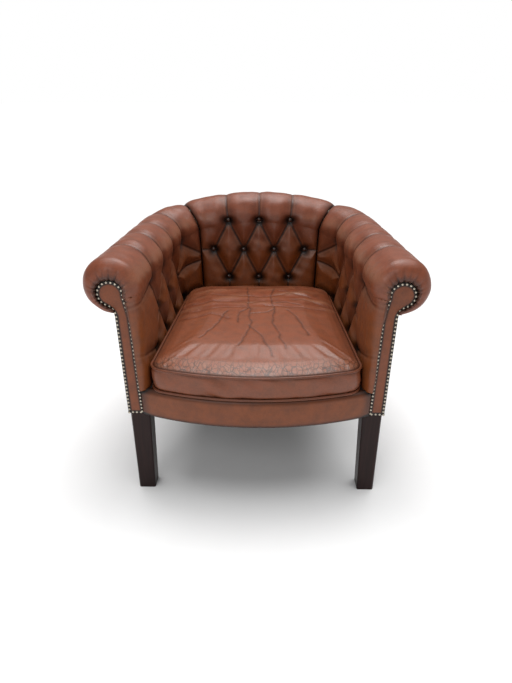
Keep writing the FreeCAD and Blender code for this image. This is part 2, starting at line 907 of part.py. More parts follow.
feature("front_corner_blocks", with_mirror([front_block()]))
feature("back_corner_blocks", with_mirror([back_block()]))
feature("frame_dowels", with_mirror([
    dowel(place, way, value.dowel_radius, value.dowel_length) for place, way in dowel_places()]))
feature("corner_block_screws", with_mirror([
    screw(place, way, 0) for place, way in screw_places()]))


# Seat: webbing, hessian, pad, deck cover and dust cloth
def webbing_count(span):
    return int((span - value.webbing_width) / value.webbing_pitch) + 1


def strap_rows(count):
    return [(index - (count - 1) / 2) * value.webbing_pitch for index in range(count)]


BACK_INSIDE = value.back_line - FRAME_INSIDE


def webbing_across():
    """Straps from side rail to side rail."""
    straps = []
    half = value.webbing_width / 2
    bearing = FRAME_INSIDE - value.webbing_lap
    middle = (STUB_BACK + CENTRE.y) / 2
    for y in strap_rows(webbing_count(CENTRE.y - STUB_BACK)):
        reach = arm_x(bearing, middle + y + half)
        straps.append(block((-reach, reach), (middle + y - half, middle + y + half),
                            (RAIL_TOP, RAIL_TOP + value.webbing_thickness)))
    return Part.makeCompound(straps)


def webbing_along():
    """Straps from the front rail to the back rail, lying on the ones across."""
    straps = []
    half = value.webbing_width / 2
    low = RAIL_TOP + value.webbing_thickness
    back = BACK_INSIDE + value.webbing_lap
    for x in strap_rows(webbing_count(2 * (CENTRE.x - value.back_post_width) + value.webbing_width)):
        front = bow_y(abs(x) + half, value.front_rail_depth) - value.webbing_lap
        straps.append(block((x - half, x + half), (front, back), (low, low + value.webbing_thickness)))
    return Part.makeCompound(straps)


feature("seat_webbing_across", webbing_across())
feature("seat_webbing_along", webbing_along())


def deck_face(offset):
    """The seat's plan inside the walls, with the bowed front."""
    half = stub_inner_face.value
    edges = horseshoe_edges(offset, POST_FACE) + [bow_arc(0, half)]
    for turn in (lambda point: point, flipped):
        ends = [turn(Vector(x, POST_FACE, 0)) for x in (half, arm_x(offset, POST_FACE))]
        edges.append(Part.makeLine(*ends))
    return filled(edges)


deck_bottom = RAIL_TOP + 2 * value.webbing_thickness
cloth = value.deck_cloth_thickness
deck = deck_face(HESSIAN_INSIDE + value.fit_gap)
feature("seat_hessian", prism(deck, deck_bottom, deck_bottom + cloth))
feature("seat_pad", prism(deck, deck_bottom + cloth, deck_height.value - cloth))
feature("seat_deck_cover", prism(deck, deck_height.value - cloth, deck_height.value))


def bottom_cloth():
    """The dust cloth under the rails, cut out round the four legs."""
    sheet_shape = prism(deck_face(PANEL_INSIDE), RAIL_BOTTOM - value.hessian_thickness, RAIL_BOTTOM)
    gap = value.fit_gap
    stub = block((stub_inner_face.value - gap, value.arm_spacing), (POST_FACE - SPARE, STUB_BACK + gap),
                 (0, RAIL_TOP))
    for shape in (stub, back_leg_head(gap)):
        sheet_shape = sheet_shape.cut([shape, shape.mirror(Vector(), Vector(1, 0, 0))])
    return sheet_shape


feature("bottom_cloth", bottom_cloth())


def front_border():
    """The padded leather border over the bowed front rail, between the two facings."""
    half = facing_inner_foot.value - value.fit_gap
    edges = [bow_arc(-value.border_thickness, half), bow_arc(0, half)]
    for x in (-half, half):
        ends = [Vector(x, bow_y(x, deeper), 0) for deeper in (-value.border_thickness, 0)]
        edges.append(Part.makeLine(*ends))
    border = prism(filled(edges), value.leg_height, deck_height.value)
    behind = block((-value.arm_spacing, value.arm_spacing), (POST_FACE, 0), (0, value.arm_spacing))
    return border.cut(behind)


feature("front_border_cover", front_border())


# Walls: hessian over the frame, stuffing, buttoned inside covers and flat outside covers
def split(shape):
    """The shape's right arm part, and its back part."""
    return shape.common(ARM_REGION), shape.common(BACK_REGION)


def wall_pieces(arm_name, back_name, arm_shape, back_shape):
    side_feature(arm_name, lambda: arm_shape)
    feature(back_name, back_shape)


hessian_bottom = tack_top - value.hessian_lap
arm_hessian, _ = split(band(FRAME_INSIDE, HESSIAN_INSIDE, POST_BACK,
                            hessian_bottom, arm_rail_level.value + value.hessian_lap))
_, back_hessian = split(band(FRAME_INSIDE, HESSIAN_INSIDE, POST_BACK,
                             hessian_bottom, back_rail_level.value + value.hessian_lap))
wall_pieces("arm_hessian", "back_hessian", arm_hessian, back_hessian)

arm_panel, _ = split(band(value.panel_inset, PANEL_INSIDE, POST_FACE,
                          value.leg_height, arm_panel_top.value))
_, back_panel = split(band(value.panel_inset, PANEL_INSIDE, POST_FACE,
                           value.leg_height, back_panel_top.value))
wall_pieces("outside_arm_cover", "outside_back_cover", arm_panel, back_panel)

# Flat tops of the walls inside the roll: level along the arms, higher across the back.
SIDE_WALL_TOP = roll_height.value + value.wall_rise
BACK_WALL_TOP = ROLL_PATH.end.z


def horseshoe_form(radius, outer, inner, front, bottom):
    """A roll with a wall hanging under its inner side."""
    wall = band(outer, inner, front, bottom, SIDE_WALL_TOP)
    raised = back_band(outer, inner, SIDE_WALL_TOP - SPARE, BACK_WALL_TOP)
    return wall.fuse([raised, roll(radius, front, CORE_SIDES)])


def scroll_end():
    """The padded end of an arm's roll: its front edge rounded in flat steps, its sides as the roll's."""
    rounding = value.end_rounding
    front = POST_FACE - value.end_pad_depth
    axis = Vector(arm_axis.value, front + rounding + SURFACE_LIFT, roll_height.value)
    sections = [(0, value.roll_radius)]
    for step in range(END_STEPS + 1):
        angle = math.pi / 2 * step / END_STEPS
        sections.append((SURFACE_LIFT + rounding * math.sin(angle),
                         value.roll_radius - rounding * (1 - math.cos(angle))))
    return [faceted(axis, Vector(0, -1, 0), OUTER_SIDES, sections)]


END_STEPS = 3


def cover_outside():
    """Roll and wall over their full thickness, with padded ends."""
    front = POST_FACE - value.end_pad_depth
    offset = COVER_OUTSIDE - value.panel_inset
    wall = band(offset, INNER_FACE, front, WALL_BOTTOM, SIDE_WALL_TOP)
    edges = [edge for edge in uprights(wall)
             if abs(edge.Vertexes[0].X) < arm_x(INNER_FACE, front) + SURFACE_LIFT
             and edge.Vertexes[0].Y < front + SURFACE_LIFT]
    wall = wall.makeFillet(value.edge_rounding, edges)
    raised = back_band(offset, INNER_FACE, SIDE_WALL_TOP - SPARE, BACK_WALL_TOP)
    ends = scroll_end()
    ends = ends + [shape.mirror(Vector(), Vector(1, 0, 0)) for shape in ends]
    return wall.fuse([raised, roll(value.roll_radius, front + value.end_rounding, OUTER_SIDES)] + ends)


def front_facing(label):
    """A thin padded strip of leather over card, in the shape of the arm's end."""
    corners = scroll_outline(size.leg_height, (facing_inner_foot, facing_outer_foot),
                             (facing_inner_neck, facing_outer_neck),
                             (facing_neck_level, facing_neck_level),
                             size.facing_head_radius, FACING_HEAD_START,
                             (size.facing_head_radius * NECK_HOLLOW, -1))
    return padded(label, "XZ_Plane", corners, size.facing_thickness, lift=size.front_plane)


facing_right = pair("front_facing", front_facing)
document.recompute()


def facing_pocket():
    """The room that the facing takes out of the arm's padded end."""
    back_face = max(facing_right.Shape.Faces, key=lambda face: face.CenterOfMass.y)
    grown = back_face.makeOffset2D(value.fit_gap)
    return Part.Face(grown.Wires[0]).extrude(Vector(0, -2 * value.end_pad_depth, 0))


core_radius = value.roll_radius - value.cover_thickness
cover = cover_outside().cut([
    horseshoe_form(core_radius, value.panel_inset, COVER_OUTSIDE, POST_FACE, WALL_BOTTOM - SPARE),
    facing_pocket(), facing_pocket().mirror(Vector(), Vector(1, 0, 0))])
arm_cover, back_cover = split(cover)


# Buttoning. A station is a length along the wall's inner face, from the front on the right.
WALL_LINE = horseshoe_edges(INNER_FACE, POST_FACE)
WALL_LINE = WALL_LINE[:2] + [Part.makeLine(corner_point(INNER_FACE, 90), flipped(corner_point(INNER_FACE, 90)))]
ROLL_RIGHT, ROLL_ARCH = ROLL_PATH.edges()
ROLL_LINE = ROLL_RIGHT + [ROLL_ARCH]
WALL_MIDDLE = sum(edge.Length for edge in WALL_LINE[:2]) + WALL_LINE[2].Length / 2
ROLL_MIDDLE = sum(edge.Length for edge in ROLL_RIGHT) + ROLL_ARCH.Length / 2


class Tuft:
    """One button's place: its station along the inner face, and its level."""

    def __init__(self, station, level):
        self.frame = frame_at(WALL_LINE, station)
        self.point = self.frame.point + UP * level
        self.station = station

    def pit(self):
        """The pit that the button draws into the cover, with a flat floor."""
        low = value.button_radius + 2 * value.fit_gap
        slope = (value.tuft_radius - value.button_radius) / value.tuft_depth
        rise = value.tuft_depth + SURFACE_LIFT
        return faceted(self.floor(), self.frame.inwards, BUTTON_SIDES, [(0, low), (rise, low + slope * rise)])

    def floor(self):
        return self.point - self.frame.inwards * value.tuft_depth

    def button(self):
        """A covered button: a short rim under a low dome."""
        radius, rim, dome = value.button_radius, value.button_rim, value.button_dome
        sections = [(0, radius), (rim, radius), (rim + dome, radius * DOME_CREST)]
        return faceted(self.floor(), self.frame.inwards, BUTTON_SIDES, sections)


BUTTON_SIDES = 6
DOME_CREST = 0.4


def pleat(start, end, inwards):
    """The folded valley between two places on the inner face."""
    way = end - start
    across = way.cross(inwards).normalize() * (value.pleat_width / 2)
    lift = inwards * SURFACE_LIFT
    corners = [start + lift + across, start + lift - across, start - inwards * value.pleat_depth]
    return Part.Face(Part.makePolygon(corners + corners[:1])).extrude(way)


def pleat_between(first, second):
    return pleat(first.point, second.point, (first.frame.inwards + second.frame.inwards).normalize())


def roll_pleat(station):
    """The valley of a pleat that runs on over the roll, from its inner side to its underside."""
    frame = frame_at(ROLL_LINE, station)
    out = value.roll_radius + 2 * SURFACE_LIFT
    half = frame.way * (value.pleat_width / 2)
    section = [
        frame.point + frame.inwards * out + half,
        frame.point + frame.inwards * out - half,
        frame.point + frame.inwards * (value.roll_radius - value.pleat_depth),
    ]
    return stacked([turned(section, frame.point, frame.way, PLEAT_TURN * step / PLEAT_STEPS)
                    for step in range(PLEAT_STEPS + 1)])


PLEAT_TURN = math.radians(205)
PLEAT_STEPS = 7


def tufted(shape, tufts, pairs, upright, rolls):
    """The cover with its button pits, the valleys between them and the pleats over the roll."""
    tools = [tuft.pit() for tuft in tufts]
    tools += [pleat_between(first, second) for first, second in pairs]
    tools += [pleat(tuft.point, tuft.point + UP * rise, tuft.frame.inwards) for tuft, rise in upright]
    tools += [roll_pleat(station) for station in rolls]
    for tool in tools:
        shape = shape.cut(tool)
    return shape


LINK_REACH = 0.75


def rows_linked(upper, lower, pitch):
    """The pairs of buttons in neighbouring rows that a pleat joins."""
    near = LINK_REACH * pitch
    return [(a, b) for a in upper for b in lower if abs(a.station - b.station) < near]


# Places of the buttons in the top, middle and bottom rows, in steps of the pitch
BACK_STEPS = ((-1, 0, 1), (-1.5, -0.5, 0.5, 1.5), (-1, 0, 1))
ARM_STEPS = ((0, 1, 2, 3), (0.5, 1.5, 2.5), (0, 1, 2, 3))


def buttoning(steps, first, pitch, top_level, row_pitch):
    """Three staggered rows of buttons."""
    return [[Tuft(first + step * pitch, top_level - row * row_pitch) for step in places]
            for row, places in enumerate(steps)]


back_rows = buttoning(BACK_STEPS, WALL_MIDDLE, value.back_button_pitch,
                      back_top_row.value, value.back_row_pitch)
arm_rows = buttoning(ARM_STEPS, value.arm_first_button, value.arm_button_pitch,
                     arm_top_row.value, value.arm_row_pitch)
back_tufts = [tuft for row in back_rows for tuft in row]
arm_tufts = [tuft for row in arm_rows for tuft in row]


def finished_cover(shape, rows, crest, rolls):
    top, middle, bottom = rows
    pitch = abs(top[0].station - top[1].station)
    pairs = rows_linked(top, middle, pitch) + rows_linked(middle, bottom, pitch)
    upright = [(tuft, crest - tuft.point.z) for tuft in top]
    upright += [(tuft, WALL_BOTTOM - SURFACE_LIFT - tuft.point.z) for tuft in bottom]
    return tufted(shape, top + middle + bottom, pairs, upright, rolls)


back_rolls = [ROLL_MIDDLE + step * value.back_button_pitch for step in (-1, 0, 1)]
arm_rolls = [tuft.station for tuft in arm_rows[0]]
back_cover = finished_cover(back_cover, back_rows, back_top_row.value + value.pleat_width, back_rolls)
arm_cover = finished_cover(arm_cover, arm_rows, roll_height.value, arm_rolls)
wall_pieces("inside_arm_cover", "inside_back_cover", arm_cover, back_cover)
feature("back_buttons", Part.makeCompound([tuft.button() for tuft in back_tufts]))
side_feature("arm_buttons", lambda: Part.makeCompound([tuft.button() for tuft in arm_tufts]))


# Stuffing: what fills the covers, resting on the rails and the hessian
def stuffing():
    gap = value.fit_gap
    form = horseshoe_form(core_radius - gap, HESSIAN_INSIDE + gap, COVER_OUTSIDE - gap,
                          POST_BACK + gap, WALL_BOTTOM + gap)
    slot = value.panel_inset - gap
    low = WALL_BOTTOM - SPARE
    inner = HESSIAN_INSIDE + gap
    rails = [arm_band(slot, inner, POST_BACK - SPARE, low, ARM_RAIL_TOP + gap),
             corner_band(slot, inner, low, CORNER_RAIL_TOP + gap)]
    rails += [shape.mirror(Vector(), Vector(1, 0, 0)) for shape in rails]
    return split(form.cut(rails + [back_band(slot, inner, low, BACK_RAIL_TOP + gap)]))


wall_pieces("arm_stuffing", "back_stuffing", *stuffing())


# Facing nails: domed studs close together all round the facing
def facing_nails():
    front_face = min(facing_right.Shape.Faces, key=lambda face: face.CenterOfMass.y)
    line = front_face.makeOffset2D(-value.nail_inset).Wires[0]
    count = int(line.Length / value.nail_pitch)
    places = line.discretize(Number=count + 1)[:count]
    sections = [(0, value.nail_radius), (value.nail_height, value.nail_radius * NAIL_CREST)]
    return Part.makeCompound([faceted(place, Vector(0, -1, 0), NAIL_SIDES, sections) for place in places])


NAIL_SIDES = 5
NAIL_CREST = 0.5


side_feature("facing_nails", facing_nails)


# Seat cushion: a foam core in a boxed leather cover, piped along both seams
def cushion_outline(offset, corner):
    """Corners of the cushion's plan: the walls' line set further in, a bowed front, rounded corners."""
    x = arm_x(offset, POST_FACE)
    deeper = value.cushion_setback - value.border_thickness + (offset - CUSHION_EDGE)
    front = [Vector(side * x, bow_y(x, deeper), 0) for side in (-1, 1)]
    edges = horseshoe_edges(offset, POST_FACE) + [bow_arc(deeper, x)]
    edges += [Part.makeLine(point, Vector(point.x, POST_FACE, 0)) for point in front]
    plan = filled(edges).extrude(UP)
    plan = plan.makeFillet(corner, [edge for edge in uprights(plan)
                                    if edge.Vertexes[0].Y < POST_FACE - SURFACE_LIFT])
    wire = min(plan.Faces, key=lambda face: face.CenterOfMass.z).OuterWire
    corners = []
    for edge in wire.OrderedEdges:
        turn = edge.tangentAt(edge.FirstParameter).getAngle(edge.tangentAt(edge.LastParameter))
        steps = max(1, round(turn / CUSHION_TURN))
        points = edge.discretize(Number=steps + 1)
        if edge.Orientation == "Reversed":
            points = points[::-1]
        corners += points[:-1]
    return corners


CUSHION_TURN = math.radians(15)


def middle_of(corners):
    return sum(corners, Vector()) * (1 / len(corners))


def cushion_form(offset, corner, base, low_seam, high_seam, crown):
    """A boxed cushion: sides drawn in at the two seams, and a crown over the upper one."""
    plan = cushion_outline(offset, corner)
    middle = middle_of(plan)

    def ring(share, level):
        return [middle + (point - middle) * share + UP * level for point in plan]

    rings = [ring(SEAM_DRAW, base), ring(1, low_seam), ring(SIDE_SWELL, (low_seam + high_seam) / 2)]
    rings += [ring(share, high_seam + crown * rise) for share, rise in CROWN_STEPS]
    return stacked(rings)


CUSHION_EDGE = INNER_FACE + value.cushion_gap + 2 * value.piping_radius
SEAM_DRAW = 0.99
SIDE_SWELL = 1.006
# How wide the crown still is at each share of its rise
CROWN_STEPS = ((1, 0), (0.96, 0.4), (0.88, 0.72), (0.75, 0.9), (0.5, 1))

low_seam = WALL_BOTTOM + value.piping_radius
high_seam = low_seam + value.cushion_side


def cushion_inside(gap):
    """The core, or with a gap the room for it inside the cover."""
    inset = value.cushion_skin - gap
    return cushion_form(CUSHION_EDGE + inset, value.cushion_corner - inset, WALL_BOTTOM + inset,
                        low_seam + inset, high_seam - inset, value.cushion_crown)


outer_cushion = cushion_form(CUSHION_EDGE, value.cushion_corner, WALL_BOTTOM, low_seam, high_seam,
                             value.cushion_crown)
feature("cushion_core", cushion_inside(0))
feature("cushion_cover", outer_cushion.cut(cushion_inside(value.fit_gap)))


def piping(level):
    """A welt all round, just outside the seam, mitred from corner to corner of the plan."""
    radius = value.piping_radius
    out = radius + value.fit_gap
    plan = cushion_outline(CUSHION_EDGE - out, value.cushion_corner + out)
    rings = []
    for before, here, after in zip(plan[-1:] + plan[:-1], plan, plan[1:] + plan[:1]):
        first = (here - before).normalize().cross(UP)
        second = (after - here).normalize().cross(UP)
        mitre = (first + second).normalize()
        stretch = radius / mitre.dot(first)
        angles = [2 * math.pi * step / PIPING_SIDES for step in range(PIPING_SIDES)]
        rings.append([here + mitre * (stretch * math.cos(angle)) + UP * (level + radius * math.sin(angle))
                      for angle in angles])
    facets = []
    for ring, following in zip(rings, rings[1:] + rings[:1]):
        facets += skin_between(ring, following)
    return solid_of(facets)


PIPING_SIDES = 5
feature("cushion_piping_bottom", piping(low_seam))
feature("cushion_piping_top", piping(high_seam))

document.recompute()

# Every piece is sound before anything is written.
for item in document.Objects:
    if {"Invalid", "Error"} & set(item.State):
        raise RuntimeError("%s failed: %s" % (item.Label, item.State))
for item in sub_parts:
    if item.Shape.isNull() or not item.Shape.isValid() or not item.Shape.Solids:
        raise RuntimeError("%s has no sound shape" % item.Label)

os.makedirs("parts", exist_ok=True)
for item in sub_parts:
    item.Shape.exportStep("parts/%s.step" % item.Label)
print("%d pieces" % len(sub_parts))
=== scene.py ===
import json
import math

import bpy
import numpy as np
from bpy.props import FloatProperty, FloatVectorProperty, IntProperty, PointerProperty
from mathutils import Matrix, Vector


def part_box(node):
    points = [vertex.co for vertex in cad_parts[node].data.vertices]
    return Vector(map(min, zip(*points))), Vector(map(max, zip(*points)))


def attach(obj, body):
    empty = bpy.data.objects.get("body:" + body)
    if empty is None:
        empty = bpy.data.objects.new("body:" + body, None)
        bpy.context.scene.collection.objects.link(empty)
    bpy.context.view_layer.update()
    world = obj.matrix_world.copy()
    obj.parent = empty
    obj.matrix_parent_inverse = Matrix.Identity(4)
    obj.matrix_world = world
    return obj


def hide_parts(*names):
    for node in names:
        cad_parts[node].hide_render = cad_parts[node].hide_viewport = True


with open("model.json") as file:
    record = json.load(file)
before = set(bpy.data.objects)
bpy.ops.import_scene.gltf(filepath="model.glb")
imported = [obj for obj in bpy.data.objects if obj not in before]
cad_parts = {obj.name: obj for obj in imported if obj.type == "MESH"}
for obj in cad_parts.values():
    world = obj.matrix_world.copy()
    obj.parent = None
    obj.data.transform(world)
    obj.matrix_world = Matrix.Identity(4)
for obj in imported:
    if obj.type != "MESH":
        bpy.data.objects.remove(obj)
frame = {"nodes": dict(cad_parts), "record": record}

bl_info = {
    "name": "Buttoned Leather Armchair",
    "version": (1, 0, 0),
    "blender": (4, 5, 0),
    "location": "View3D > Sidebar > Armchair",
    "description": "Dresses the armchair's frame: buttoned covers, studded facings, cushion and stage",
    "category": "Add Mesh",
}

UP = np.array((0.0, 0.0, 1.0))
DECK_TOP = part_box("seat_deck_cover")[1].z
RAIL_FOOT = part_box("front_border_cover")[0].z
CUSHION_SEAMS = (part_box("cushion_piping_bottom"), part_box("cushion_piping_top"))
CUSHION_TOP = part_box("cushion_cover")[1].z

# Thickness of the leather on the buttoned covers
SKIN = 0.0025
# The covers are laid out this much past the corner seams, in this many more columns, then cut to the slant
SEAM_SPARE = 0.04
SPARE_COLUMNS = 12
# Columns of mesh round the front edge of a padded end, and across its face
EDGE_STEPS = 9
FACE_STEPS = 16
# A pleat's sharp line of painted shade, the wider painted shade beside it, and the lip that runs along it,
# raised a little and given a painted highlight
FOLD_WIDTH = 0.003
FOLD_SHADE = 0.017
LIP_DISTANCE = 0.0065
LIP_WIDTH = 0.003
# Where the padded end starts to tuck in under the roll, and where the cover ends, from the inner side round
TUCK_START = math.radians(215)
ROLL_FINISH = math.radians(275)
CLOTH_FRAMES = 20


def length(name, default, description):
    """A size in metres that a user may change."""
    return FloatProperty(name=name, description=description, default=default, min=0, unit="LENGTH")


def colour(name, default, description):
    """A colour that a user may change."""
    return FloatVectorProperty(name=name, description=description, default=default, size=3,
                               min=0, max=1, subtype="COLOR")


def angle(name, degrees, description):
    """An angle that a user may change."""
    return FloatProperty(name=name, description=description, default=math.radians(degrees),
                         subtype="ANGLE")


class RollSizes(bpy.types.PropertyGroup):
    """The scrolled roll and the wall under it."""

    arm_spacing: length("Arm spacing", 0.684, "Between the roll's centre lines at the front")
    arm_splay: angle("Arm splay", 3.15, "How far each arm leans outwards in plan")
    front_plane: length("Front plane", 0.316, "From the middle of the chair to the posts' front")
    back_line: length("Back line", 0.315, "From the middle to the roll's centre line at the back")
    corner_radius: length("Corner radius", 0.15, "Of the roll's centre line round a back corner")
    corner_tilt: angle("Corner tilt", 11.3, "How much the roll climbs round a back corner")
    roll_height: length("Roll height", 0.597, "Of the roll's centre line along the arms")
    roll_radius: length("Roll radius", 0.065, "Of the round roll")
    wall_offset: length("Wall offset", 0.062, "From the roll's centre line in to the inner face")
    end_depth: length("End pad depth", 0.012, "How far the padded ends stand before the posts")
    end_rounding: length("End rounding", 0.027, "Round front edge of the padded ends")
    mesh_step: length("Mesh step", 0.0028, "Spacing of the mesh on the buttoned covers")


class ButtoningSizes(bpy.types.PropertyGroup):
    """Buttons, pleats and puffs."""

    back_pitch: length("Back pitch", 0.104, "Between buttons in a row of the back")
    back_top: length("Back top row", 0.623, "Level of the back's top row")
    back_middle: length("Back middle row", 0.526, "Level of the back's middle row")
    back_bottom: length("Back bottom row", 0.429, "Level of the back's bottom row")
    arm_pitch: length("Arm pitch", 0.122, "Between buttons in a row of an arm")
    arm_first: length("Arm first button", 0.138, "From the arm's front to its first button")
    arm_top: length("Arm top row", 0.567, "Level of the arms' top row")
    arm_middle: length("Arm middle row", 0.471, "Level of the arms' middle row")
    arm_bottom: length("Arm bottom row", 0.375, "Level of the arms' bottom row")
    puff: length("Puff", 0.008, "How far the leather swells between the pleats")
    pleat_depth: length("Pleat depth", 0.015, "Depth of a pleat under the swell")
    pleat_width: length("Pleat width", 0.042, "Half width of the valley of a pleat")
    arm_fullness: FloatProperty(name="Arm fullness", description="Depth of the arms' pleats over the back's",
                                default=1.2, min=0)
    pit_depth: length("Pit depth", 0.021, "Depth of a button's pit under the swell")
    pit_width: length("Pit width", 0.032, "From a button's edge to its pit's shoulder")
    # Spread of the painted shade round a button
    shade_halo: length("Halo", 0.021, "How far the dark polish spreads round a button")
    seam_angle: angle("Seam angle", 68, "Where the arms' covers meet the back's, in the corner")
    seam_depth: length("Seam depth", 0.016, "How deep the corner seams are drawn in")
    button_radius: length("Button radius", 0.0078, "Of a covered button")
    gathers: IntProperty(name="Gathers", description="Pleats gathered round the head of a facing",
                         default=17, min=3)


class FacingSizes(bpy.types.PropertyGroup):
    """The studded facing on the front of each arm."""

    inner_foot: length("Inner foot", 0.292, "Inner edge at the foot")
    outer_foot: length("Outer foot", 0.334, "Outer edge at the foot")
    inner_neck: length("Inner neck", 0.2985, "Inner edge at the neck")
    outer_neck: length("Outer neck", 0.3375, "Outer edge at the neck")
    neck_level: length("Neck level", 0.524, "Height of the neck")
    head_radius: length("Head radius", 0.034, "Of the facing's round head")
    head_drop: length("Head drop", 0.017, "From the roll's centre down to the head's")
    thickness: length("Thickness", 0.006, "Of the facing")
    nail_radius: length("Nail radius", 0.0037, "Of a nail's domed head")
    nail_pitch: length("Nail pitch", 0.0105, "Between nails")
    nail_inset: length("Nail inset", 0.0045, "From the facing's edge to the nails")


class CushionSizes(bpy.types.PropertyGroup):
    """The loose seat cushion."""

    gap: length("Side gap", 0.018, "Between the cushion's side and the wall's inner face")
    corner: length("Front corner", 0.04, "Radius of the front corners")
    front_bow: length("Front bow", 0.056, "How far the front of the seat bows forwards")
    bow_half: length("Bow half width", 0.288, "Half width over which the front bows")
    border: length("Border", 0.006, "Thickness of the border under the cushion's front")
    setback: length("Setback", 0.004, "From the border's face back to the cushion's side")
    crown: length("Crown", 0.026, "Rise of the top over its seam")
    piping: length("Piping radius", 0.0034, "Of the piping along both seams")
    rear_lift: length("Rear lift", 0.009, "How far the filling is pushed up and back behind the sitter")


class Colours(bpy.types.PropertyGroup):
    """Colours of the finishes."""

    red_brown: colour("Red brown", (0.2, 0.052, 0.022), "Rubbed leather on the rolls and the seat")
    tan: colour("Tan", (0.19, 0.044, 0.005), "Leather on the lower inner faces")
    # Burnish: dark polish, also used as painted shade in folds, seams, gathers and round buttons and nails
    burnish_and_shade: colour("Burnish", (0.008, 0.004, 0.003), "Dark polish in folds, seams and round buttons")
    bloom_and_highlight: colour("Bloom", (0.33, 0.15, 0.09), "Rubbed pale high spots")
    # Bloom: pale rubbed high spots and worn edges, also used as painted highlights on swells, pleat lips and
    # upturned walls
    mahogany: colour("Mahogany", (0.009, 0.003, 0.0026), "Polished legs")
    scuff: colour("Scuff", (0.16, 0.09, 0.065), "Worn edges of the legs")
    nail: colour("Nail", (0.55, 0.49, 0.4), "Bright tops of the nails")
    tarnish: colour("Tarnish", (0.035, 0.028, 0.022), "Dark round the nails' edges")
    beech: colour("Beech", (0.5, 0.33, 0.19), "Bare wood of the frame")
    jute: colour("Jute", (0.33, 0.25, 0.15), "Webbing and hessian")
    cloth: colour("Cloth", (0.02, 0.018, 0.017), "Black cloth under the seat")
    fibre: colour("Fibre", (0.6, 0.56, 0.48), "Stuffing and foam")
    floor: colour("Floor", (0.86, 0.86, 0.86), "Studio floor")


class View(bpy.types.PropertyGroup):
    """Where the camera stands."""

    height: length("Camera height", 1.003, "Above the floor")
    distance: length("Camera distance", 1.444, "In front of the middle of the chair")
    side: FloatProperty(name="Camera side", description="To the right of the middle",
                        default=0.021, unit="LENGTH")
    pitch: angle("Camera pitch", 25.8, "How far the camera looks down")
    yaw: angle("Camera yaw", 1.05, "How far the camera turns to the left")
    lens: FloatProperty(name="Lens", description="Focal length in millimetres", default=27.04)


# Shapes


class Horseshoe:
    """The line of the roll, from the right arm's front round the back to the left arm's."""

    def __init__(self, sizes):
        splay, tilt = sizes.arm_splay, sizes.corner_tilt
        self.way = np.array((-math.sin(splay), math.cos(splay), 0))
        inwards = np.array((-math.cos(splay), -math.sin(splay), 0))
        self.lean = inwards * math.cos(tilt) + UP * math.sin(tilt)
        self.radius = sizes.corner_radius
        self.turn = math.atan2(math.cos(splay), math.sin(splay) * math.cos(tilt))
        self.start = np.array((sizes.arm_spacing / 2, -sizes.front_plane, sizes.roll_height))
        corner = self.way * self.radius * math.sin(self.turn)
        corner = corner + self.lean * self.radius * (1 - math.cos(self.turn))
        self.straight = (sizes.back_line - corner[1] - self.start[1]) / self.way[1]
        self.begin = self.start + self.way * self.straight
        self.end = self.begin + corner
        self.slope = math.asin(math.sin(self.turn) * math.sin(tilt))
        self.arch = self.end[0] / math.sin(self.slope)
        self.corner_end = self.straight + self.radius * self.turn
        self.half = self.corner_end + self.arch * self.slope

    def frames(self, stations):
        """At stations along the line: points, and the ways along, inwards and up."""
        stations = np.asarray(stations, float)
        left = stations > self.half
        station = np.where(left, 2 * self.half - stations, stations)[..., None]
        along = np.minimum(station, self.straight)
        points = self.start + self.way * along
        ways = np.broadcast_to(self.way, points.shape)
        turned = np.clip((station - self.straight) / self.radius, 0, self.turn)
        corner = self.begin + self.way * self.radius * np.sin(turned)
        corner = corner + self.lean * self.radius * (1 - np.cos(turned))
        in_corner = station > self.straight
        points = np.where(in_corner, corner, points)
        ways = np.where(in_corner, self.way * np.cos(turned) + self.lean * np.sin(turned), ways)
        lean = self.slope - (station - self.corner_end) / self.arch
        x = np.array((1.0, 0, 0))
        top = self.end - (x * math.sin(self.slope) + UP * math.cos(self.slope)) * self.arch
        arch = top + (x * np.sin(lean) + UP * np.cos(lean)) * self.arch
        in_arch = station > self.corner_end
        points = np.where(in_arch, arch, points)
        ways = np.where(in_arch, -x * np.cos(lean) + UP * np.sin(lean), ways)
        flip = left[..., None]
        points = np.where(flip, points * (-1, 1, 1), points)
        ways = np.where(flip, ways * (1, -1, -1), ways)
        inwards = np.cross(UP, ways)
        inwards /= np.linalg.norm(inwards, axis=-1, keepdims=True)
        return points, ways, inwards, np.cross(ways, inwards)

    def inner(self, stations, offset):
        """How far along the inner face, at an offset from the line, a station lies."""
        stations = np.asarray(stations, float)
        right = np.minimum(stations, 2 * self.half - stations)
        corner = np.clip(right, self.straight, self.corner_end) - self.straight
        length = right - corner * offset / self.radius
        whole = 2 * (self.half - (self.corner_end - self.straight) * offset / self.radius)
        return np.where(stations > self.half, whole - length, length)

    def seam_station(self, seam_angle, splay):
        return self.straight + self.radius * (seam_angle - splay)


def smooth(low, high, values):
    """0 below low, 1 above high, and an S-curve between."""
    share = np.clip((values - low) / (high - low), 0, 1)
    return share * share * (3 - 2 * share)


def valley(distance, width):
    """1 at a crease, 0 from the width on, steep at the crease and round at the shoulder."""
    share = np.clip(distance / width, 0, 1)
    return 1 - np.sqrt(1 - (1 - share) ** 2)


def pillow(distance, width):
    """Like a valley, but round all the way up to its shoulder."""
    return (1 - np.clip(distance / width, 0, 1)) ** 1.7


def waves(points, scale, seed, count=7):
    """A smooth random field of about unit size: sines in seeded directions."""
    random = np.random.default_rng(seed)
    field = np.zeros(points.shape[:-1])
    for _ in range(count):
        direction = random.normal(size=points.shape[-1])
        direction *= (2 * math.pi / scale) * random.uniform(0.6, 1.6) / np.linalg.norm(direction)
        field += np.sin(points @ direction + random.uniform(0, 2 * math.pi))
    return field / math.sqrt(count)


def segment_distance(place, start, end):
    """Distance of places from a straight pleat, and how far along it they are, 0 to 1."""
    start, end = np.asarray(start, float), np.asarray(end, float)
    way = end - start
    share = np.clip(((place - start) @ way) / (way @ way), 0, 1)
    return np.linalg.norm(place - start - share[..., None] * way, axis=-1), share


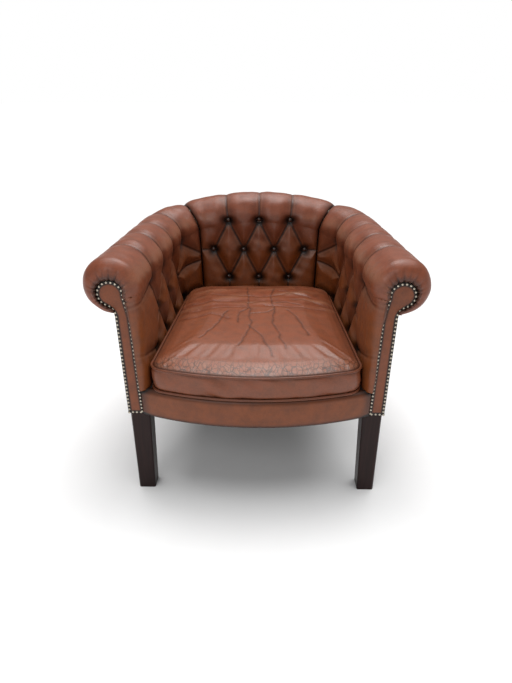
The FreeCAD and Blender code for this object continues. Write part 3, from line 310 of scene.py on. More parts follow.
def grid_normals(grid):
    along = np.gradient(grid, axis=0)
    across = np.gradient(grid, axis=1)
    normals = np.cross(along, across)
    return normals / np.maximum(np.linalg.norm(normals, axis=-1, keepdims=True), 1e-12)


def linked(name, data):
    """A new object of the scene that holds the data."""
    made = bpy.data.objects.new(name, data)
    bpy.context.scene.collection.objects.link(made)
    return made


def keep_values(mesh, key, values):
    """Keeps a value by point on the mesh, for its finish to read."""
    layer = mesh.attributes.new(key, "FLOAT", "POINT")
    layer.data.foreach_set("value", np.asarray(values, np.float32).ravel())


def make_object(name, points, faces, attributes=None):
    """A smooth mesh object from points, faces and values by point."""
    mesh = bpy.data.meshes.new(name)
    mesh.from_pydata([tuple(point) for point in points], [], [tuple(face) for face in faces])
    mesh.shade_smooth()
    for key, values in (attributes or {}).items():
        keep_values(mesh, key, values)
    mesh.validate()
    return linked(name, mesh)


def grid_faces(rows, columns, wrap=False, offset=0, flip=False):
    """Quads of a grid of points, counted row by row."""
    last = columns if wrap else columns - 1
    first = np.arange(rows - 1)[:, None] * columns + np.arange(last)[None, :]
    second = np.arange(rows - 1)[:, None] * columns + (np.arange(last)[None, :] + 1) % columns
    quads = np.stack((first, second, second + columns, first + columns), -1).reshape(-1, 4) + offset
    return quads[:, ::-1] if flip else quads


def shell(name, grid, normals, thickness, attributes):
    """A closed skin: the grid, the same grid moved in under it, and a rim between."""
    rows, columns = grid.shape[:2]
    inner = grid - normals * thickness
    points = np.concatenate((grid.reshape(-1, 3), inner.reshape(-1, 3)))
    index = np.arange(rows * columns).reshape(rows, columns)
    rim = np.concatenate((index[0, :-1], index[:-1, -1], index[-1, :0:-1], index[:0:-1, 0]))
    following = np.roll(rim, -1)
    count = rows * columns
    faces = [grid_faces(rows, columns, flip=True), grid_faces(rows, columns, offset=count),
             np.stack((rim, following, following + count, rim + count), -1)]
    doubled = {key: np.concatenate((values.ravel(), values.ravel())) for key, values in attributes.items()}
    return make_object(name, points, np.concatenate(faces), doubled)


class Buttoning:
    """Where the buttons and pleats are, as (length along the inner face, height up the cover)."""

    def __init__(self, rows, pitch, roll_end, ends):
        self.rows = rows
        self.buttons = [button for row in rows for button in row]
        self.pleats = []
        for upper, lower in zip(rows, rows[1:]):
            self.pleats += [(a, b, 1.0, 1.0) for a in upper for b in lower
                            if abs(a[0] - b[0]) < 0.75 * pitch]
        self.pleats += [(a, (a[0], roll_end), 1.0, 0.16) for a in rows[0]]
        self.pleats += [(a, (a[0], DECK_TOP), 1.0, 0.8) for a in rows[-1]]
        self.pleats += ends

    def heights(self, place, sizes, fullness=1.0):
        """Hollows of the leather at places, painted shade by how near each is to a crease or a button, and
        the painted highlight on the lips of pleats.
        """
        depth = np.zeros(place.shape[:-1])
        crease = np.zeros(place.shape[:-1])
        lip = np.zeros(place.shape[:-1])
        for start, end, first, last in self.pleats:
            distance, share = segment_distance(place, start, end)
            force = first + (last - first) * np.minimum(share * 2.2, 1)
            hollow = pillow(distance, sizes.pleat_width * (0.6 + 0.4 * force))
            depth = np.maximum(depth, hollow * sizes.pleat_depth * fullness * force)
            # Painted shade: a dark line in the pleat's fold and a wider shade beside it
            line = 0.6 * np.exp(-distance / FOLD_WIDTH) + 0.42 * np.exp(-(distance / FOLD_SHADE) ** 2)
            crease = np.maximum(crease, line * force ** 0.5)
            # Painted highlight along the lip beside the pleat; the lip is also raised 0.8 mm
            beside = np.exp(-((distance - LIP_DISTANCE) / LIP_WIDTH) ** 2)
            lip = np.maximum(lip, beside * force ** 0.5)
        for button in self.buttons:
            distance = np.linalg.norm(place - np.asarray(button), axis=-1)
            beyond = np.maximum(distance - sizes.button_radius * 0.8, 0)
            pit = pillow(beyond, sizes.pit_width) * sizes.pit_depth
            depth = (depth ** 4 + pit ** 4) ** (1 / 4)
            # Painted shade round the button's pit; it also dims the painted highlight of nearby lips
            dark = np.exp(-(np.maximum(distance - 0.005, 0) / sizes.shade_halo) ** 2)
            crease = np.maximum(crease, dark)
            lip *= 1 - dark
        return depth - 0.0008 * lip, crease * (1 - 0.6 * lip), lip


def arm_buttoning(sizes, roll_end, seam):
    first, pitch = sizes.arm_first, sizes.arm_pitch
    top = [(first + step * pitch, sizes.arm_top) for step in range(4)]
    middle = [(first + (step + 0.5) * pitch, sizes.arm_middle) for step in range(3)]
    bottom = [(first + step * pitch, sizes.arm_bottom) for step in range(4)]
    front = -0.02
    ends = [
        (top[0], (front, sizes.arm_top - 0.016), 0.8, 0.35),
        (bottom[0], (front, sizes.arm_bottom + 0.05), 0.7, 0.2),
        (middle[0], (front + 0.05, sizes.arm_middle - 0.03), 0.8, 0.0),
        (middle[2], (seam, sizes.arm_middle + 0.02), 0.9, 0.6),
        (top[3], (seam, sizes.arm_top - 0.05), 0.8, 0.6),
        (bottom[3], (seam, sizes.arm_bottom + 0.02), 0.8, 0.6),
    ]
    return Buttoning([top, middle, bottom], pitch, roll_end, ends)


def back_buttoning(sizes, middle_station, roll_end, seam_gap):
    pitch = sizes.back_pitch
    rows = []
    for level, steps in ((sizes.back_top, (-1, 0, 1)), (sizes.back_middle, (-1.5, -0.5, 0.5, 1.5)),
                         (sizes.back_bottom, (-1, 0, 1))):
        rows.append([(middle_station + step * pitch, level) for step in steps])
    ends = [(rows[1][0], (seam_gap[0], sizes.back_middle + 0.001), 0.9, 0.7),
            (rows[1][3], (seam_gap[1], sizes.back_middle + 0.001), 0.9, 0.7)]
    return Buttoning(rows, pitch, roll_end, ends)


class Profile:
    """The cover's section: up the inner face, over the roll and down under its outer side."""

    def __init__(self, sizes):
        self.radius = sizes.roll_radius
        self.offset = sizes.wall_offset
        self.meet = -math.acos(self.offset / self.radius)
        wall_rows = round((sizes.roll_height - DECK_TOP) / sizes.mesh_step)
        roll_rows = round(self.radius * (ROLL_FINISH - self.meet) / sizes.mesh_step)
        self.wall = np.linspace(0, 1, wall_rows, endpoint=False)
        self.roll = np.linspace(self.meet, ROLL_FINISH, roll_rows)

    def section(self, points, inwards, ups):
        """The section's points at frames along the roll, and their height up the cover."""
        meet = points + self.radius * (math.cos(self.meet) * inwards + math.sin(self.meet) * ups)
        foot = meet * (1, 1, 0) + UP * DECK_TOP
        wall = foot[:, None] + (meet - foot)[:, None] * self.wall[None, :, None]
        around = (inwards[:, None] * np.cos(self.roll)[None, :, None]
                  + ups[:, None] * np.sin(self.roll)[None, :, None])
        roll = points[:, None] + around * self.radius
        grid = np.concatenate((wall, roll), axis=1)
        climbed = meet[:, 2][:, None] + self.radius * (self.roll - self.meet)[None]
        return grid, np.concatenate((wall[..., 2], climbed), axis=1)


def facing_target(profile, sizes, facing, climbs):
    """Where each point of the front section is drawn in to: the edge of the facing."""
    middle = sizes.arm_spacing / 2
    level = sizes.roll_height - facing.head_drop
    rows = len(profile.wall)
    target = np.zeros((rows + len(profile.roll), 3))
    height = climbs[:rows]
    share = np.clip((height - RAIL_FOOT) / (facing.neck_level - RAIL_FOOT), 0, 1)
    target[:rows, 0] = facing.inner_foot + (facing.inner_neck - facing.inner_foot) * share
    target[:rows, 2] = height
    around = profile.roll
    radius = facing.head_radius
    target[rows:, 0] = middle - radius * np.cos(around)
    target[rows:, 2] = level + radius * np.sin(around)
    under = np.clip((around - TUCK_START) / (ROLL_FINISH - TUCK_START), 0, 1)
    neck = np.array((facing.outer_neck + 0.001, 0, facing.neck_level + 0.014))
    target[rows:] += (neck - target[rows:]) * (under ** 1.5)[:, None]
    near = smooth(facing.neck_level - 0.02, level, target[:rows, 2])
    curve = middle - radius - target[:rows, 0]
    target[:rows, 0] += near * np.maximum(curve, 0) * 0.6
    target[:, 1] = -(sizes.front_plane + facing.thickness - 0.0025)
    return target


def front_columns(section, target, sizes):
    """The padded end: a round front edge, then the face drawn in to the facing."""
    front = -(sizes.front_plane + sizes.end_depth)
    reach = target - section
    reach[:, 1] = 0
    distance = np.linalg.norm(reach, axis=1, keepdims=True)
    way = reach / distance
    rounding = np.minimum(sizes.end_rounding, 0.92 * distance)
    columns = []
    for step in range(1, EDGE_STEPS + 1):
        turned = math.pi / 2 * step / EDGE_STEPS
        point = section + way * rounding * (1 - math.cos(turned))
        point[:, 1] = (front + sizes.end_rounding) - sizes.end_rounding * math.sin(turned)
        columns.append(point)
    begin = columns[-1]
    for step in range(1, FACE_STEPS + 1):
        share = step / FACE_STEPS
        point = begin + (target - begin) * share
        point[:, 1] = front + (target[:, 1] - front) * smooth(0.55, 1.0, np.full(len(point), share))
        columns.append(point)
    return np.array(columns)


def seam_slant(climbs, sizes):
    """How far the corner seam leans along the roll: to the back at its foot, to the arm on the crest."""
    crest = sizes.roll_height + sizes.roll_radius
    levels = (DECK_TOP, sizes.roll_height, crest, crest + 0.1)
    return np.interp(climbs, levels, (0.012, 0.0, -0.014, -0.018))


def carried(grid, stations, wanted):
    """The grid with its points moved along the stations to the wanted ones."""
    moved = np.empty(wanted.shape + (3,))
    for column in range(wanted.shape[1]):
        for axis in range(3):
            moved[:, column, axis] = np.interp(wanted[:, column], stations, grid[:, column, axis])
    return moved


def arm_cover(name, horseshoe, sizes, buttoning_sizes, facing, left):
    """The buttoned inside cover of one arm, from its padded end back to the corner seam."""
    profile = Profile(sizes)
    seam = horseshoe.seam_station(buttoning_sizes.seam_angle, sizes.arm_splay)
    begin = (sizes.end_rounding - sizes.end_depth) / horseshoe.way[1]
    stations = np.linspace(begin, seam, round((seam - begin) / sizes.mesh_step))
    longer = np.linspace(begin, seam + SEAM_SPARE, len(stations) + SPARE_COLUMNS)
    points, _, inwards, ups = horseshoe.frames(longer)
    grid, climbs = profile.section(points, inwards, ups)
    climbs = climbs[:len(stations)]
    near_seam = smooth(seam - 0.16, seam, stations)[:, None]
    slanted = stations[:, None] + seam_slant(climbs, sizes) * near_seam
    grid = carried(grid, longer, slanted)
    columns = front_columns(grid[0], facing_target(profile, sizes, facing, climbs[0]), sizes)
    grid = np.concatenate((columns[::-1], grid))
    climbs = np.concatenate((np.broadcast_to(climbs[0], (len(columns), climbs.shape[1])), climbs))
    inner = horseshoe.inner(slanted, sizes.wall_offset)
    steps = np.linalg.norm(np.diff(columns, axis=0, prepend=grid[None, len(columns)]), axis=-1)
    run = inner[0] - np.cumsum(steps, axis=0)[::-1]
    along = np.concatenate((run, inner))
    place = np.stack((along, climbs), -1)
    normals = -grid_normals(grid)

    seam_inner = float(horseshoe.inner(seam, sizes.wall_offset))
    roll_end = sizes.roll_height + sizes.roll_radius * (ROLL_FINISH - profile.meet)
    buttoning = arm_buttoning(buttoning_sizes, roll_end, seam_inner)
    depth, crease, lip = buttoning.heights(place, buttoning_sizes, buttoning_sizes.arm_fullness)
    to_seam = inner[-1][None] - along
    seam_hollow = valley(to_seam, 0.04) * buttoning_sizes.seam_depth
    puff = buttoning_sizes.puff * (1 - 0.7 * smooth(sizes.roll_height, sizes.roll_height + 0.06, climbs))
    at_front = 1 - smooth(-0.01, 0.02, along)
    depth *= 1 - 0.8 * at_front
    height = puff * (1 - at_front * 0.5) - np.maximum(depth, seam_hollow)
    # Painted shade along the corner seam, besides the pleats' painted shade
    crease = np.maximum(crease * (1 - 0.7 * at_front), valley(to_seam, 0.014) ** 0.7)

    gathered, gather_crease = gathers(grid, sizes, buttoning_sizes, facing, len(columns))
    height += gathered
    side = -1.0 if left else 1.0
    height += 0.0006 * waves(grid + (side, 0, 0), 0.05, 5 if left else 4)
    grid = grid + normals * height[..., None]
    # Painted shade on the padded end's face, darkest at the nails and fading out across it
    near_nails = np.zeros_like(height)
    face = len(columns) - EDGE_STEPS
    on_head = smooth(sizes.roll_height - 0.09, sizes.roll_height - 0.04, climbs[:face])
    near_nails[:face] = np.linspace(1, 0, face)[:, None] ** (1.5 - 0.7 * on_head)
    # crease carries painted shade, swell carries rubbed paleness and painted highlights
    attributes = {
        "crease": np.clip(np.maximum.reduce((crease, gather_crease, near_nails)), 0, 1),
        "tan": 1 - smooth(0.47, 0.6, climbs),
        "swell": rubbed(grid, height, lip, climbs, sizes),
    }
    if left:
        grid = grid[::-1] * (-1, 1, 1)
        attributes = {key: values[::-1] for key, values in attributes.items()}
    return shell(name, grid, -grid_normals(grid), SKIN, attributes)


def gathers(grid, sizes, buttoning, facing, columns):
    """Radial pleats round the facing's head, on the padded end of the roll, with painted shade in their
    hollows.
    """
    rows, across = grid.shape[:2]
    level = sizes.roll_height - facing.head_drop
    x = grid[..., 0] - sizes.arm_spacing / 2
    z = grid[..., 2] - level
    around = np.arctan2(z, x)
    random = np.random.default_rng(11)
    places = np.linspace(math.radians(-75), math.radians(200), buttoning.gathers)
    places = places + random.uniform(-0.055, 0.055, buttoning.gathers)
    forces = random.uniform(0.45, 1, buttoning.gathers)
    share = np.clip(np.arange(rows) / columns, 0, 1)[:, None] * np.ones((1, across))
    envelope = smooth(0, 0.08, share) * (1 - smooth(0.35, 0.85, share))
    envelope = envelope * smooth(sizes.roll_height - 0.1, sizes.roll_height - 0.05, grid[..., 2])
    hollow = np.zeros((rows, across))
    for place, force in zip(places, forces):
        apart = np.abs((around - place + math.pi) % (2 * math.pi) - math.pi)
        reach = np.hypot(x, z)
        hollow = np.maximum(hollow, valley(apart * reach, 0.0085) * force)
    # The second value is the painted shade in the gathers' hollows
    return -0.006 * hollow * envelope + 0.003 * envelope, hollow ** 0.7 * envelope


def rubbed(grid, height, lip, climbs, sizes):
    """How much the leather is painted pale: rubbed paleness with painted highlight on swells, and painted
    highlights on lips of pleats and where walls face up.
    """
    # Painted highlight on the walls' upturned faces, where the overhead light falls
    upwards = smooth(0.06, 0.42, -grid_normals(grid)[..., 2])
    wall = 1 - smooth(sizes.roll_height + 0.01, sizes.roll_height + 0.06, climbs)
    share = 0.25 + 0.25 * smooth(-0.004, 0.008, height) + 0.45 * lip
    return np.clip(share + 0.6 * upwards * wall, 0, 1)


def back_cover(name, horseshoe, sizes, buttoning_sizes):
    """The buttoned inside cover of the back, between the two corner seams."""
    profile = Profile(sizes)
    seam = horseshoe.seam_station(buttoning_sizes.seam_angle, sizes.arm_splay)
    whole = 2 * horseshoe.half
    stations = np.linspace(seam, whole - seam, round((whole - 2 * seam) / sizes.mesh_step))
    longer = np.linspace(seam - SEAM_SPARE, whole - seam + SEAM_SPARE, len(stations) + 2 * SPARE_COLUMNS)
    points, _, inwards, ups = horseshoe.frames(longer)
    grid, climbs = profile.section(points, inwards, ups)
    climbs = climbs[SPARE_COLUMNS:-SPARE_COLUMNS]
    lean = smooth(seam + 0.14, seam, stations) - smooth(whole - seam - 0.14, whole - seam, stations)
    slanted = stations[:, None] + seam_slant(climbs, sizes) * lean[:, None]
    grid = carried(grid, longer, slanted)
    along = horseshoe.inner(slanted, sizes.wall_offset)
    place = np.stack((along, climbs), -1)
    normals = -grid_normals(grid)
    middle = float(horseshoe.inner(horseshoe.half, sizes.wall_offset))
    roll_end = float(climbs.max())
    seams = tuple(float(horseshoe.inner(place, sizes.wall_offset)) for place in (seam, whole - seam))
    buttoning = back_buttoning(buttoning_sizes, middle, roll_end, seams)
    depth, crease, lip = buttoning.heights(place, buttoning_sizes)
    to_seam = np.minimum(along - along[0][None], along[-1][None] - along)
    seam_hollow = valley(to_seam, 0.026) * buttoning_sizes.seam_depth
    crest = sizes.roll_height + 0.03
    puff = buttoning_sizes.puff * (1 - 0.85 * smooth(crest - 0.02, crest + 0.05, climbs))
    height = puff - np.maximum(depth, seam_hollow) + 0.0005 * waves(grid, 0.05, 9)
    grid = grid + normals * height[..., None]
    # crease carries painted shade in pleats, seams and round buttons; swell carries rubbed paleness and
    # painted highlights
    attributes = {
        "crease": np.clip(np.maximum(crease, valley(to_seam, 0.016) ** 0.7), 0, 1),
        "tan": 1 - smooth(0.5, 0.62, climbs),
        "swell": rubbed(grid, height, lip, climbs, sizes),
    }
    return shell(name, grid, -grid_normals(grid), SKIN, attributes)


def button_places(horseshoe, sizes, buttoning_sizes):
    """Every button: its place on the bottom of its pit, and the way that it faces."""
    profile = Profile(sizes)
    seam = horseshoe.seam_station(buttoning_sizes.seam_angle, sizes.arm_splay)
    stations = np.linspace(0, 2 * horseshoe.half, 1200)
    inner = horseshoe.inner(stations, sizes.wall_offset)
    whole = float(inner[-1])
    middle = whole / 2
    arms = arm_buttoning(buttoning_sizes, 1, seam).buttons
    back = back_buttoning(buttoning_sizes, middle, 1, (0, 1)).buttons
    places = [(along, level) for along, level in arms]
    places += [(whole - along, level) for along, level in arms]
    places += back
    lift = buttoning_sizes.puff - buttoning_sizes.pit_depth + 0.001
    found = []
    for along, level in places:
        station = float(np.interp(along, inner, stations))
        point, _, inwards, up = (value[0] for value in horseshoe.frames([station]))
        base = point[2] + profile.radius * math.sin(profile.meet)
        if level <= base:
            facing_way = inwards
            surface = point + inwards * profile.offset
            surface[2] = level
        else:
            turned = profile.meet + (level - base) / profile.radius
            facing_way = inwards * math.cos(turned) + up * math.sin(turned)
            surface = point + facing_way * profile.radius
        found.append((surface + facing_way * lift, facing_way))
    return found


# Facings


def facing_outline(facing, sizes, inset, step=0.004):
    """Corners of a facing's outline, or of a line set in from it, from the outer foot round."""
    middle = sizes.arm_spacing / 2
    level = sizes.roll_height - facing.head_drop
    radius = facing.head_radius - inset
    start, finish = math.radians(-65), math.radians(190)
    count = round(facing.head_radius * (finish - start) / step)
    head = [(middle + radius * math.cos(turn), level + radius * math.sin(turn))
            for turn in np.linspace(start, finish, count)]
    hollow_start = np.array((facing.outer_neck - inset, facing.neck_level))
    hollow_end = np.array(head[0])
    control = np.array((facing.outer_neck - inset + 0.001, facing.neck_level + 0.02))
    neck = [tuple((1 - t) ** 2 * hollow_start + 2 * t * (1 - t) * control + t * t * hollow_end)
            for t in np.linspace(0, 1, 6, endpoint=False)]
    outer_foot = (facing.outer_foot - inset, RAIL_FOOT + inset)
    inner_foot = (facing.inner_foot + inset, RAIL_FOOT + inset)
    inner_neck = (facing.inner_neck + inset, facing.neck_level)
    side = round((facing.neck_level - RAIL_FOOT) / step)
    lines = [np.linspace(outer_foot, hollow_start, side, endpoint=False), np.array(neck),
             np.array(head), np.linspace(inner_neck, inner_foot, side),
             np.linspace(inner_foot, outer_foot, 10, endpoint=False)[1:]]
    return np.concatenate(lines)


def facing_piece(name, facing, sizes, left):
    """A thin padded strip with round edges, its front face slightly domed."""
    rings = []
    depths = ((0.0, 0.0), (0.0, 0.6), (0.0012, 0.92), (0.0035, 1.0), (0.008, 1.06), (0.0125, 1.18))
    front = -sizes.front_plane
    darkness = []
    for inset, rise in depths:
        ring = facing_outline(facing, sizes, inset)
        plane = np.full(len(ring), front - facing.thickness * rise)
        rings.append(np.stack((ring[:, 0], plane, ring[:, 1]), -1))
        # Painted shade on the facing's rounded rim and round its nails: full for 7 mm in, gone by 12.5 mm
        darkness.append(np.full(len(ring), 1 - smooth(0.007, 0.0125, inset)))
    grid = np.array(rings)
    count = grid.shape[1]
    points = grid.reshape(-1, 3)
    faces = [tuple(face) for face in grid_faces(len(rings), count, wrap=True, flip=True)]
    last = (len(rings) - 1) * count
    faces.append(tuple(range(last + count - 1, last - 1, -1)))
    faces.append(tuple(range(count)))
    if left:
        points = points * (-1, 1, 1)
        faces = [face[::-1] for face in faces]
    return make_object(name, points, faces, {"crease": np.concatenate(darkness),
                                             "tan": np.full(len(points), 0.6),
                                             "swell": np.full(len(points), 0.15)})


def inset_outline(ring, inset):
    """The ring's corners moved in by the inset, square to the outline."""
    ahead, behind = np.roll(ring, -1, axis=0), np.roll(ring, 1, axis=0)
    way = ahead - behind
    way /= np.linalg.norm(way, axis=1, keepdims=True)
    return ring + np.stack((-way[:, 1], way[:, 0]), -1) * inset


# Geometry Nodes


class Tree:
    """A Geometry Nodes tree with named inputs, which ends in Realize Instances and Set Material."""

    def __init__(self, name, inputs):
        self.group = bpy.data.node_groups.new(name, "GeometryNodeTree")
        self.group.interface.new_socket("Geometry", in_out="INPUT", socket_type="NodeSocketGeometry")
        self.identifiers = {}
        for label, kind in inputs.items():
            made = self.group.interface.new_socket(label, in_out="INPUT", socket_type=kind)
            self.identifiers[label] = made.identifier
        self.group.interface.new_socket("Geometry", in_out="OUTPUT", socket_type="NodeSocketGeometry")
        self.entry = self.add("NodeGroupInput")

    def add(self, kind, settings=None, **links):
        node = self.group.nodes.new(kind)
        for key, value in (settings or {}).items():
            setattr(node, key, value)
        for key, value in links.items():
            socket = node.inputs[key.replace("_", " ")]
            if isinstance(value, bpy.types.NodeSocket):
                self.group.links.new(value, socket)
            else:
                socket.default_value = value
        return node

    def finish(self, geometry, material):
        real = self.add("GeometryNodeRealizeInstances", Geometry=geometry)
        painted = self.add("GeometryNodeSetMaterial", Geometry=real.outputs[0], Material=material)
        end = self.group.nodes.new("NodeGroupOutput")
        self.group.links.new(painted.outputs[0], end.inputs[0])

    def apply(self, base, name, values):
        """Runs the tree on the base object and keeps the result as a plain mesh."""
        modifier = base.modifiers.new(self.group.name, "NODES")
        modifier.node_group = self.group
        for label, value in values.items():
            modifier[self.identifiers[label]] = value
        bpy.context.view_layer.update()
        graph = bpy.context.evaluated_depsgraph_get()
        mesh = bpy.data.meshes.new_from_object(base.evaluated_get(graph))
        mesh.name = name
        base.modifiers.remove(modifier)
        bpy.data.objects.remove(base)
        return linked(name, mesh)


def dome_tree(name, material, segments, rings):
    """Places a squashed dome on every point, facing along the point's own normal."""
    tree = Tree(name, {"Radius": "NodeSocketFloat", "Flatness": "NodeSocketFloat"})
    ball = tree.add("GeometryNodeMeshUVSphere", Segments=segments, Rings=rings,
                    Radius=tree.entry.outputs["Radius"])
    size = tree.add("ShaderNodeCombineXYZ", X=1.0, Y=1.0, Z=tree.entry.outputs["Flatness"])
    flat = tree.add("GeometryNodeTransform", Geometry=ball.outputs["Mesh"], Scale=size.outputs[0])
    smooth_ball = tree.add("GeometryNodeSetShadeSmooth", Geometry=flat.outputs[0])
    normal = tree.add("GeometryNodeInputNamedAttribute", {"data_type": "FLOAT_VECTOR"}, Name="facing")
    turn = tree.add("FunctionNodeAlignRotationToVector", {"axis": "Z"}, Vector=normal.outputs["Attribute"])
    placed = tree.add("GeometryNodeInstanceOnPoints", Points=tree.entry.outputs["Geometry"],
                      Instance=smooth_ball.outputs[0], Rotation=turn.outputs[0])
    tree.finish(placed.outputs[0], material)
    return tree


def points_object(name, places, ways):
    """Loose points that know which way they face."""
    mesh = bpy.data.meshes.new(name)
    mesh.from_pydata([tuple(place) for place in places], [], [])
    layer = mesh.attributes.new("facing", "FLOAT_VECTOR", "POINT")
    layer.data.foreach_set("vector", np.asarray(ways, np.float32).ravel())
    return linked(name, mesh)


def piping_tree(name, material):
    """Sweeps a round section along a closed line."""
    tree = Tree(name, {"Radius": "NodeSocketFloat", "Step": "NodeSocketFloat"})
    line = tree.add("GeometryNodeMeshToCurve", Mesh=tree.entry.outputs["Geometry"])
    even = tree.add("GeometryNodeResampleCurve", {"mode": "LENGTH"}, Curve=line.outputs[0],
                    Length=tree.entry.outputs["Step"])
    section = tree.add("GeometryNodeCurvePrimitiveCircle", Resolution=10,
                       Radius=tree.entry.outputs["Radius"])
    tube = tree.add("GeometryNodeCurveToMesh", Curve=even.outputs[0],
                    Profile_Curve=section.outputs["Curve"])
    soft = tree.add("GeometryNodeSetShadeSmooth", Geometry=tube.outputs[0])
    tree.finish(soft.outputs[0], material)
    return tree


# Cushion


def bow_circle(sizes):
    """The seat's bowed front in plan: its radius, and the y of its centre."""
    radius = (sizes.bow_half ** 2 + sizes.front_bow ** 2) / (2 * sizes.front_bow)
    return radius, -sizes_of("roll").front_plane - sizes.front_bow + radius


def bow_level(sizes, x, deeper):
    """The y of the bowed front of the seat at x, some way behind the border's face."""
    radius, centre = bow_circle(sizes)
    return centre - np.sqrt((radius - deeper) ** 2 - np.asarray(x) ** 2)


def cushion_outline(horseshoe, roll, sizes, outset, step):
    """The cushion's plan, anticlockwise from the right front corner: sides, back and bowed front."""
    offset = roll.wall_offset + sizes.gap - outset
    total = 2 * horseshoe.half
    stations = np.linspace(-0.03, total + 0.03, 600)
    clipped = np.clip(stations, 0, total)
    points, ways, inwards, _ = horseshoe.frames(clipped)
    flat_ways = ways * (1, 1, 0)
    line = (points + inwards * offset + flat_ways * (stations - clipped)[:, None])[:, :2]
    deeper = sizes.setback - sizes.border - outset
    corner = sizes.corner + outset
    x_side = float(np.interp(-roll.front_plane, line[:300, 1], line[:300, 0]))
    radius, centre_y = bow_circle(sizes)
    bow = radius - deeper
    inner_x = x_side - corner
    inner_y = centre_y - math.sqrt((bow - corner) ** 2 - inner_x ** 2)
    sides = line[line[:, 1] > inner_y + 0.001]
    toward = math.atan2(inner_y - centre_y, inner_x)
    arc = [(inner_x + corner * math.cos(t), inner_y + corner * math.sin(t))
           for t in np.linspace(toward, 0, 12)]
    front = [(bow * math.cos(t), centre_y + bow * math.sin(t))
             for t in np.linspace(-math.pi - toward, toward, 60)]
    left_arc = [(-x, y) for x, y in arc[::-1]]
    outline = np.concatenate((arc, sides, left_arc, front[1:-1]))
    return resample(outline, step)


def resample(outline, step):
    """The closed outline again, with corners at even steps."""
    closed = np.concatenate((outline, outline[:1]))
    runs = np.linalg.norm(np.diff(closed, axis=0), axis=1)
    length = np.concatenate(([0], np.cumsum(runs)))
    places = np.linspace(0, length[-1], round(length[-1] / step), endpoint=False)
    return np.stack([np.interp(places, length, closed[:, axis]) for axis in (0, 1)], -1)


# The crown's section: shares of the way out to the seam, and of the crown's rise
CROWN_STEPS = ((1, 0), (0.97, 0.34), (0.93, 0.56), (0.86, 0.76), (0.75, 0.9), (0.6, 0.97), (0.4, 1),
               (0.2, 1.01))


def cushion_blank(outline, low, high, crown):
    """The boxed cushion before it is filled: plain sides, and a low crown over the upper seam."""
    middle = outline.mean(0)
    levels = [(share, low - 0.002 - 0.004 * (1 - share)) for share in (0.2, 0.4, 0.6, 0.8, 0.94)]
    levels += [(1, low), (1.008, low + 0.2 * (high - low)), (1.012, (low + high) / 2),
               (1.008, low + 0.8 * (high - low))]
    levels += [(share, high + crown * rise) for share, rise in CROWN_STEPS]
    points = [tuple(middle) + (levels[0][1],)]
    for share, level in levels:
        ring = middle + (outline - middle) * share
        points += [tuple(point) + (level,) for point in ring]
    points.append(tuple(middle) + (levels[-1][1],))
    count = len(outline)
    faces = [(0, 1 + (step + 1) % count, 1 + step) for step in range(count)]
    faces += [tuple(face) for face in grid_faces(len(levels), count, wrap=True, offset=1)]
    last = len(points) - 1
    first = last - count
    faces += [(last, first + step, first + (step + 1) % count) for step in range(count)]
    return points, faces


def filled_out(blank, seams, cap, voxel):
    """The blank remeshed and blown up as cloth held at its seams, no point moving past the cap."""
    bpy.context.view_layer.objects.active = blank
    remesh = blank.modifiers.new("even mesh", "REMESH")
    remesh.mode = "VOXEL"
    remesh.voxel_size = voxel
    with bpy.context.temp_override(object=blank, active_object=blank, selected_objects=[blank]):
        bpy.ops.object.modifier_apply(modifier=remesh.name)
    count = len(blank.data.vertices)
    rest = np.zeros(count * 3)
    blank.data.vertices.foreach_get("co", rest)
    rest = rest.reshape(-1, 3)
    pins = blank.vertex_groups.new(name="seams")
    for seam_ring, level in seams:
        near = np.abs(rest[:, 2] - level) < voxel * 0.8
        for index in np.nonzero(near)[0]:
            gap = np.linalg.norm(seam_ring - rest[index, :2], axis=1).min()
            if gap < 1.5 * voxel:
                pins.add([int(index)], 1.0, "REPLACE")
    cloth = blank.modifiers.new("filling", "CLOTH")
    settings = cloth.settings
    settings.quality = 5
    settings.mass = 0.4
    settings.tension_stiffness = 12
    settings.bending_stiffness = 0.6
    settings.use_pressure = True
    settings.uniform_pressure_force = 4
    settings.effector_weights.gravity = 0
    settings.vertex_group_mass = pins.name
    settings.pin_stiffness = 1
    cloth.collision_settings.use_collision = False
    cloth.collision_settings.use_self_collision = False
    scene = bpy.context.scene
    for step in range(1, CLOTH_FRAMES + 1):
        scene.frame_set(step)
    graph = bpy.context.evaluated_depsgraph_get()
    filled = blank.evaluated_get(graph).to_mesh()
    moved = np.zeros(count * 3)
    filled.vertices.foreach_get("co", moved)
    moved = moved.reshape(-1, 3)
    shift = moved - rest
    size = np.linalg.norm(shift, axis=1, keepdims=True)
    shift *= np.minimum(1, cap / np.maximum(size, 1e-9))
    blank.modifiers.remove(cloth)
    blank.data.vertices.foreach_set("co", (rest + shift).ravel())
    blank.data.update()
    scene.frame_set(1)


# Long cracks in the seat, as places across and along the cushion, in metres
SEAT_CRACKS = (
    ((-0.035, 0.17), (-0.03, 0.08), (-0.028, 0.0), (-0.022, -0.06), (-0.016, -0.13), (-0.03, -0.2),
     (-0.045, -0.26)),
    ((0.052, 0.16), (0.04, 0.09), (0.046, 0.03), (0.05, -0.02), (0.042, -0.09), (0.055, -0.18),
     (0.075, -0.27)),
    ((-0.028, 0.0), (-0.055, -0.045), (-0.052, -0.12)),
    ((0.05, -0.02), (0.02, -0.045), (-0.022, -0.05)),
    ((-0.02, -0.14), (0.01, -0.2), (0.04, -0.3)),
    ((-0.09, -0.03), (-0.11, -0.12), (-0.15, -0.22)),
    ((0.09, -0.02), (0.12, -0.1), (0.14, -0.2)),
    ((0.045, 0.03), (0.09, 0.04), (0.13, 0.02)),
)
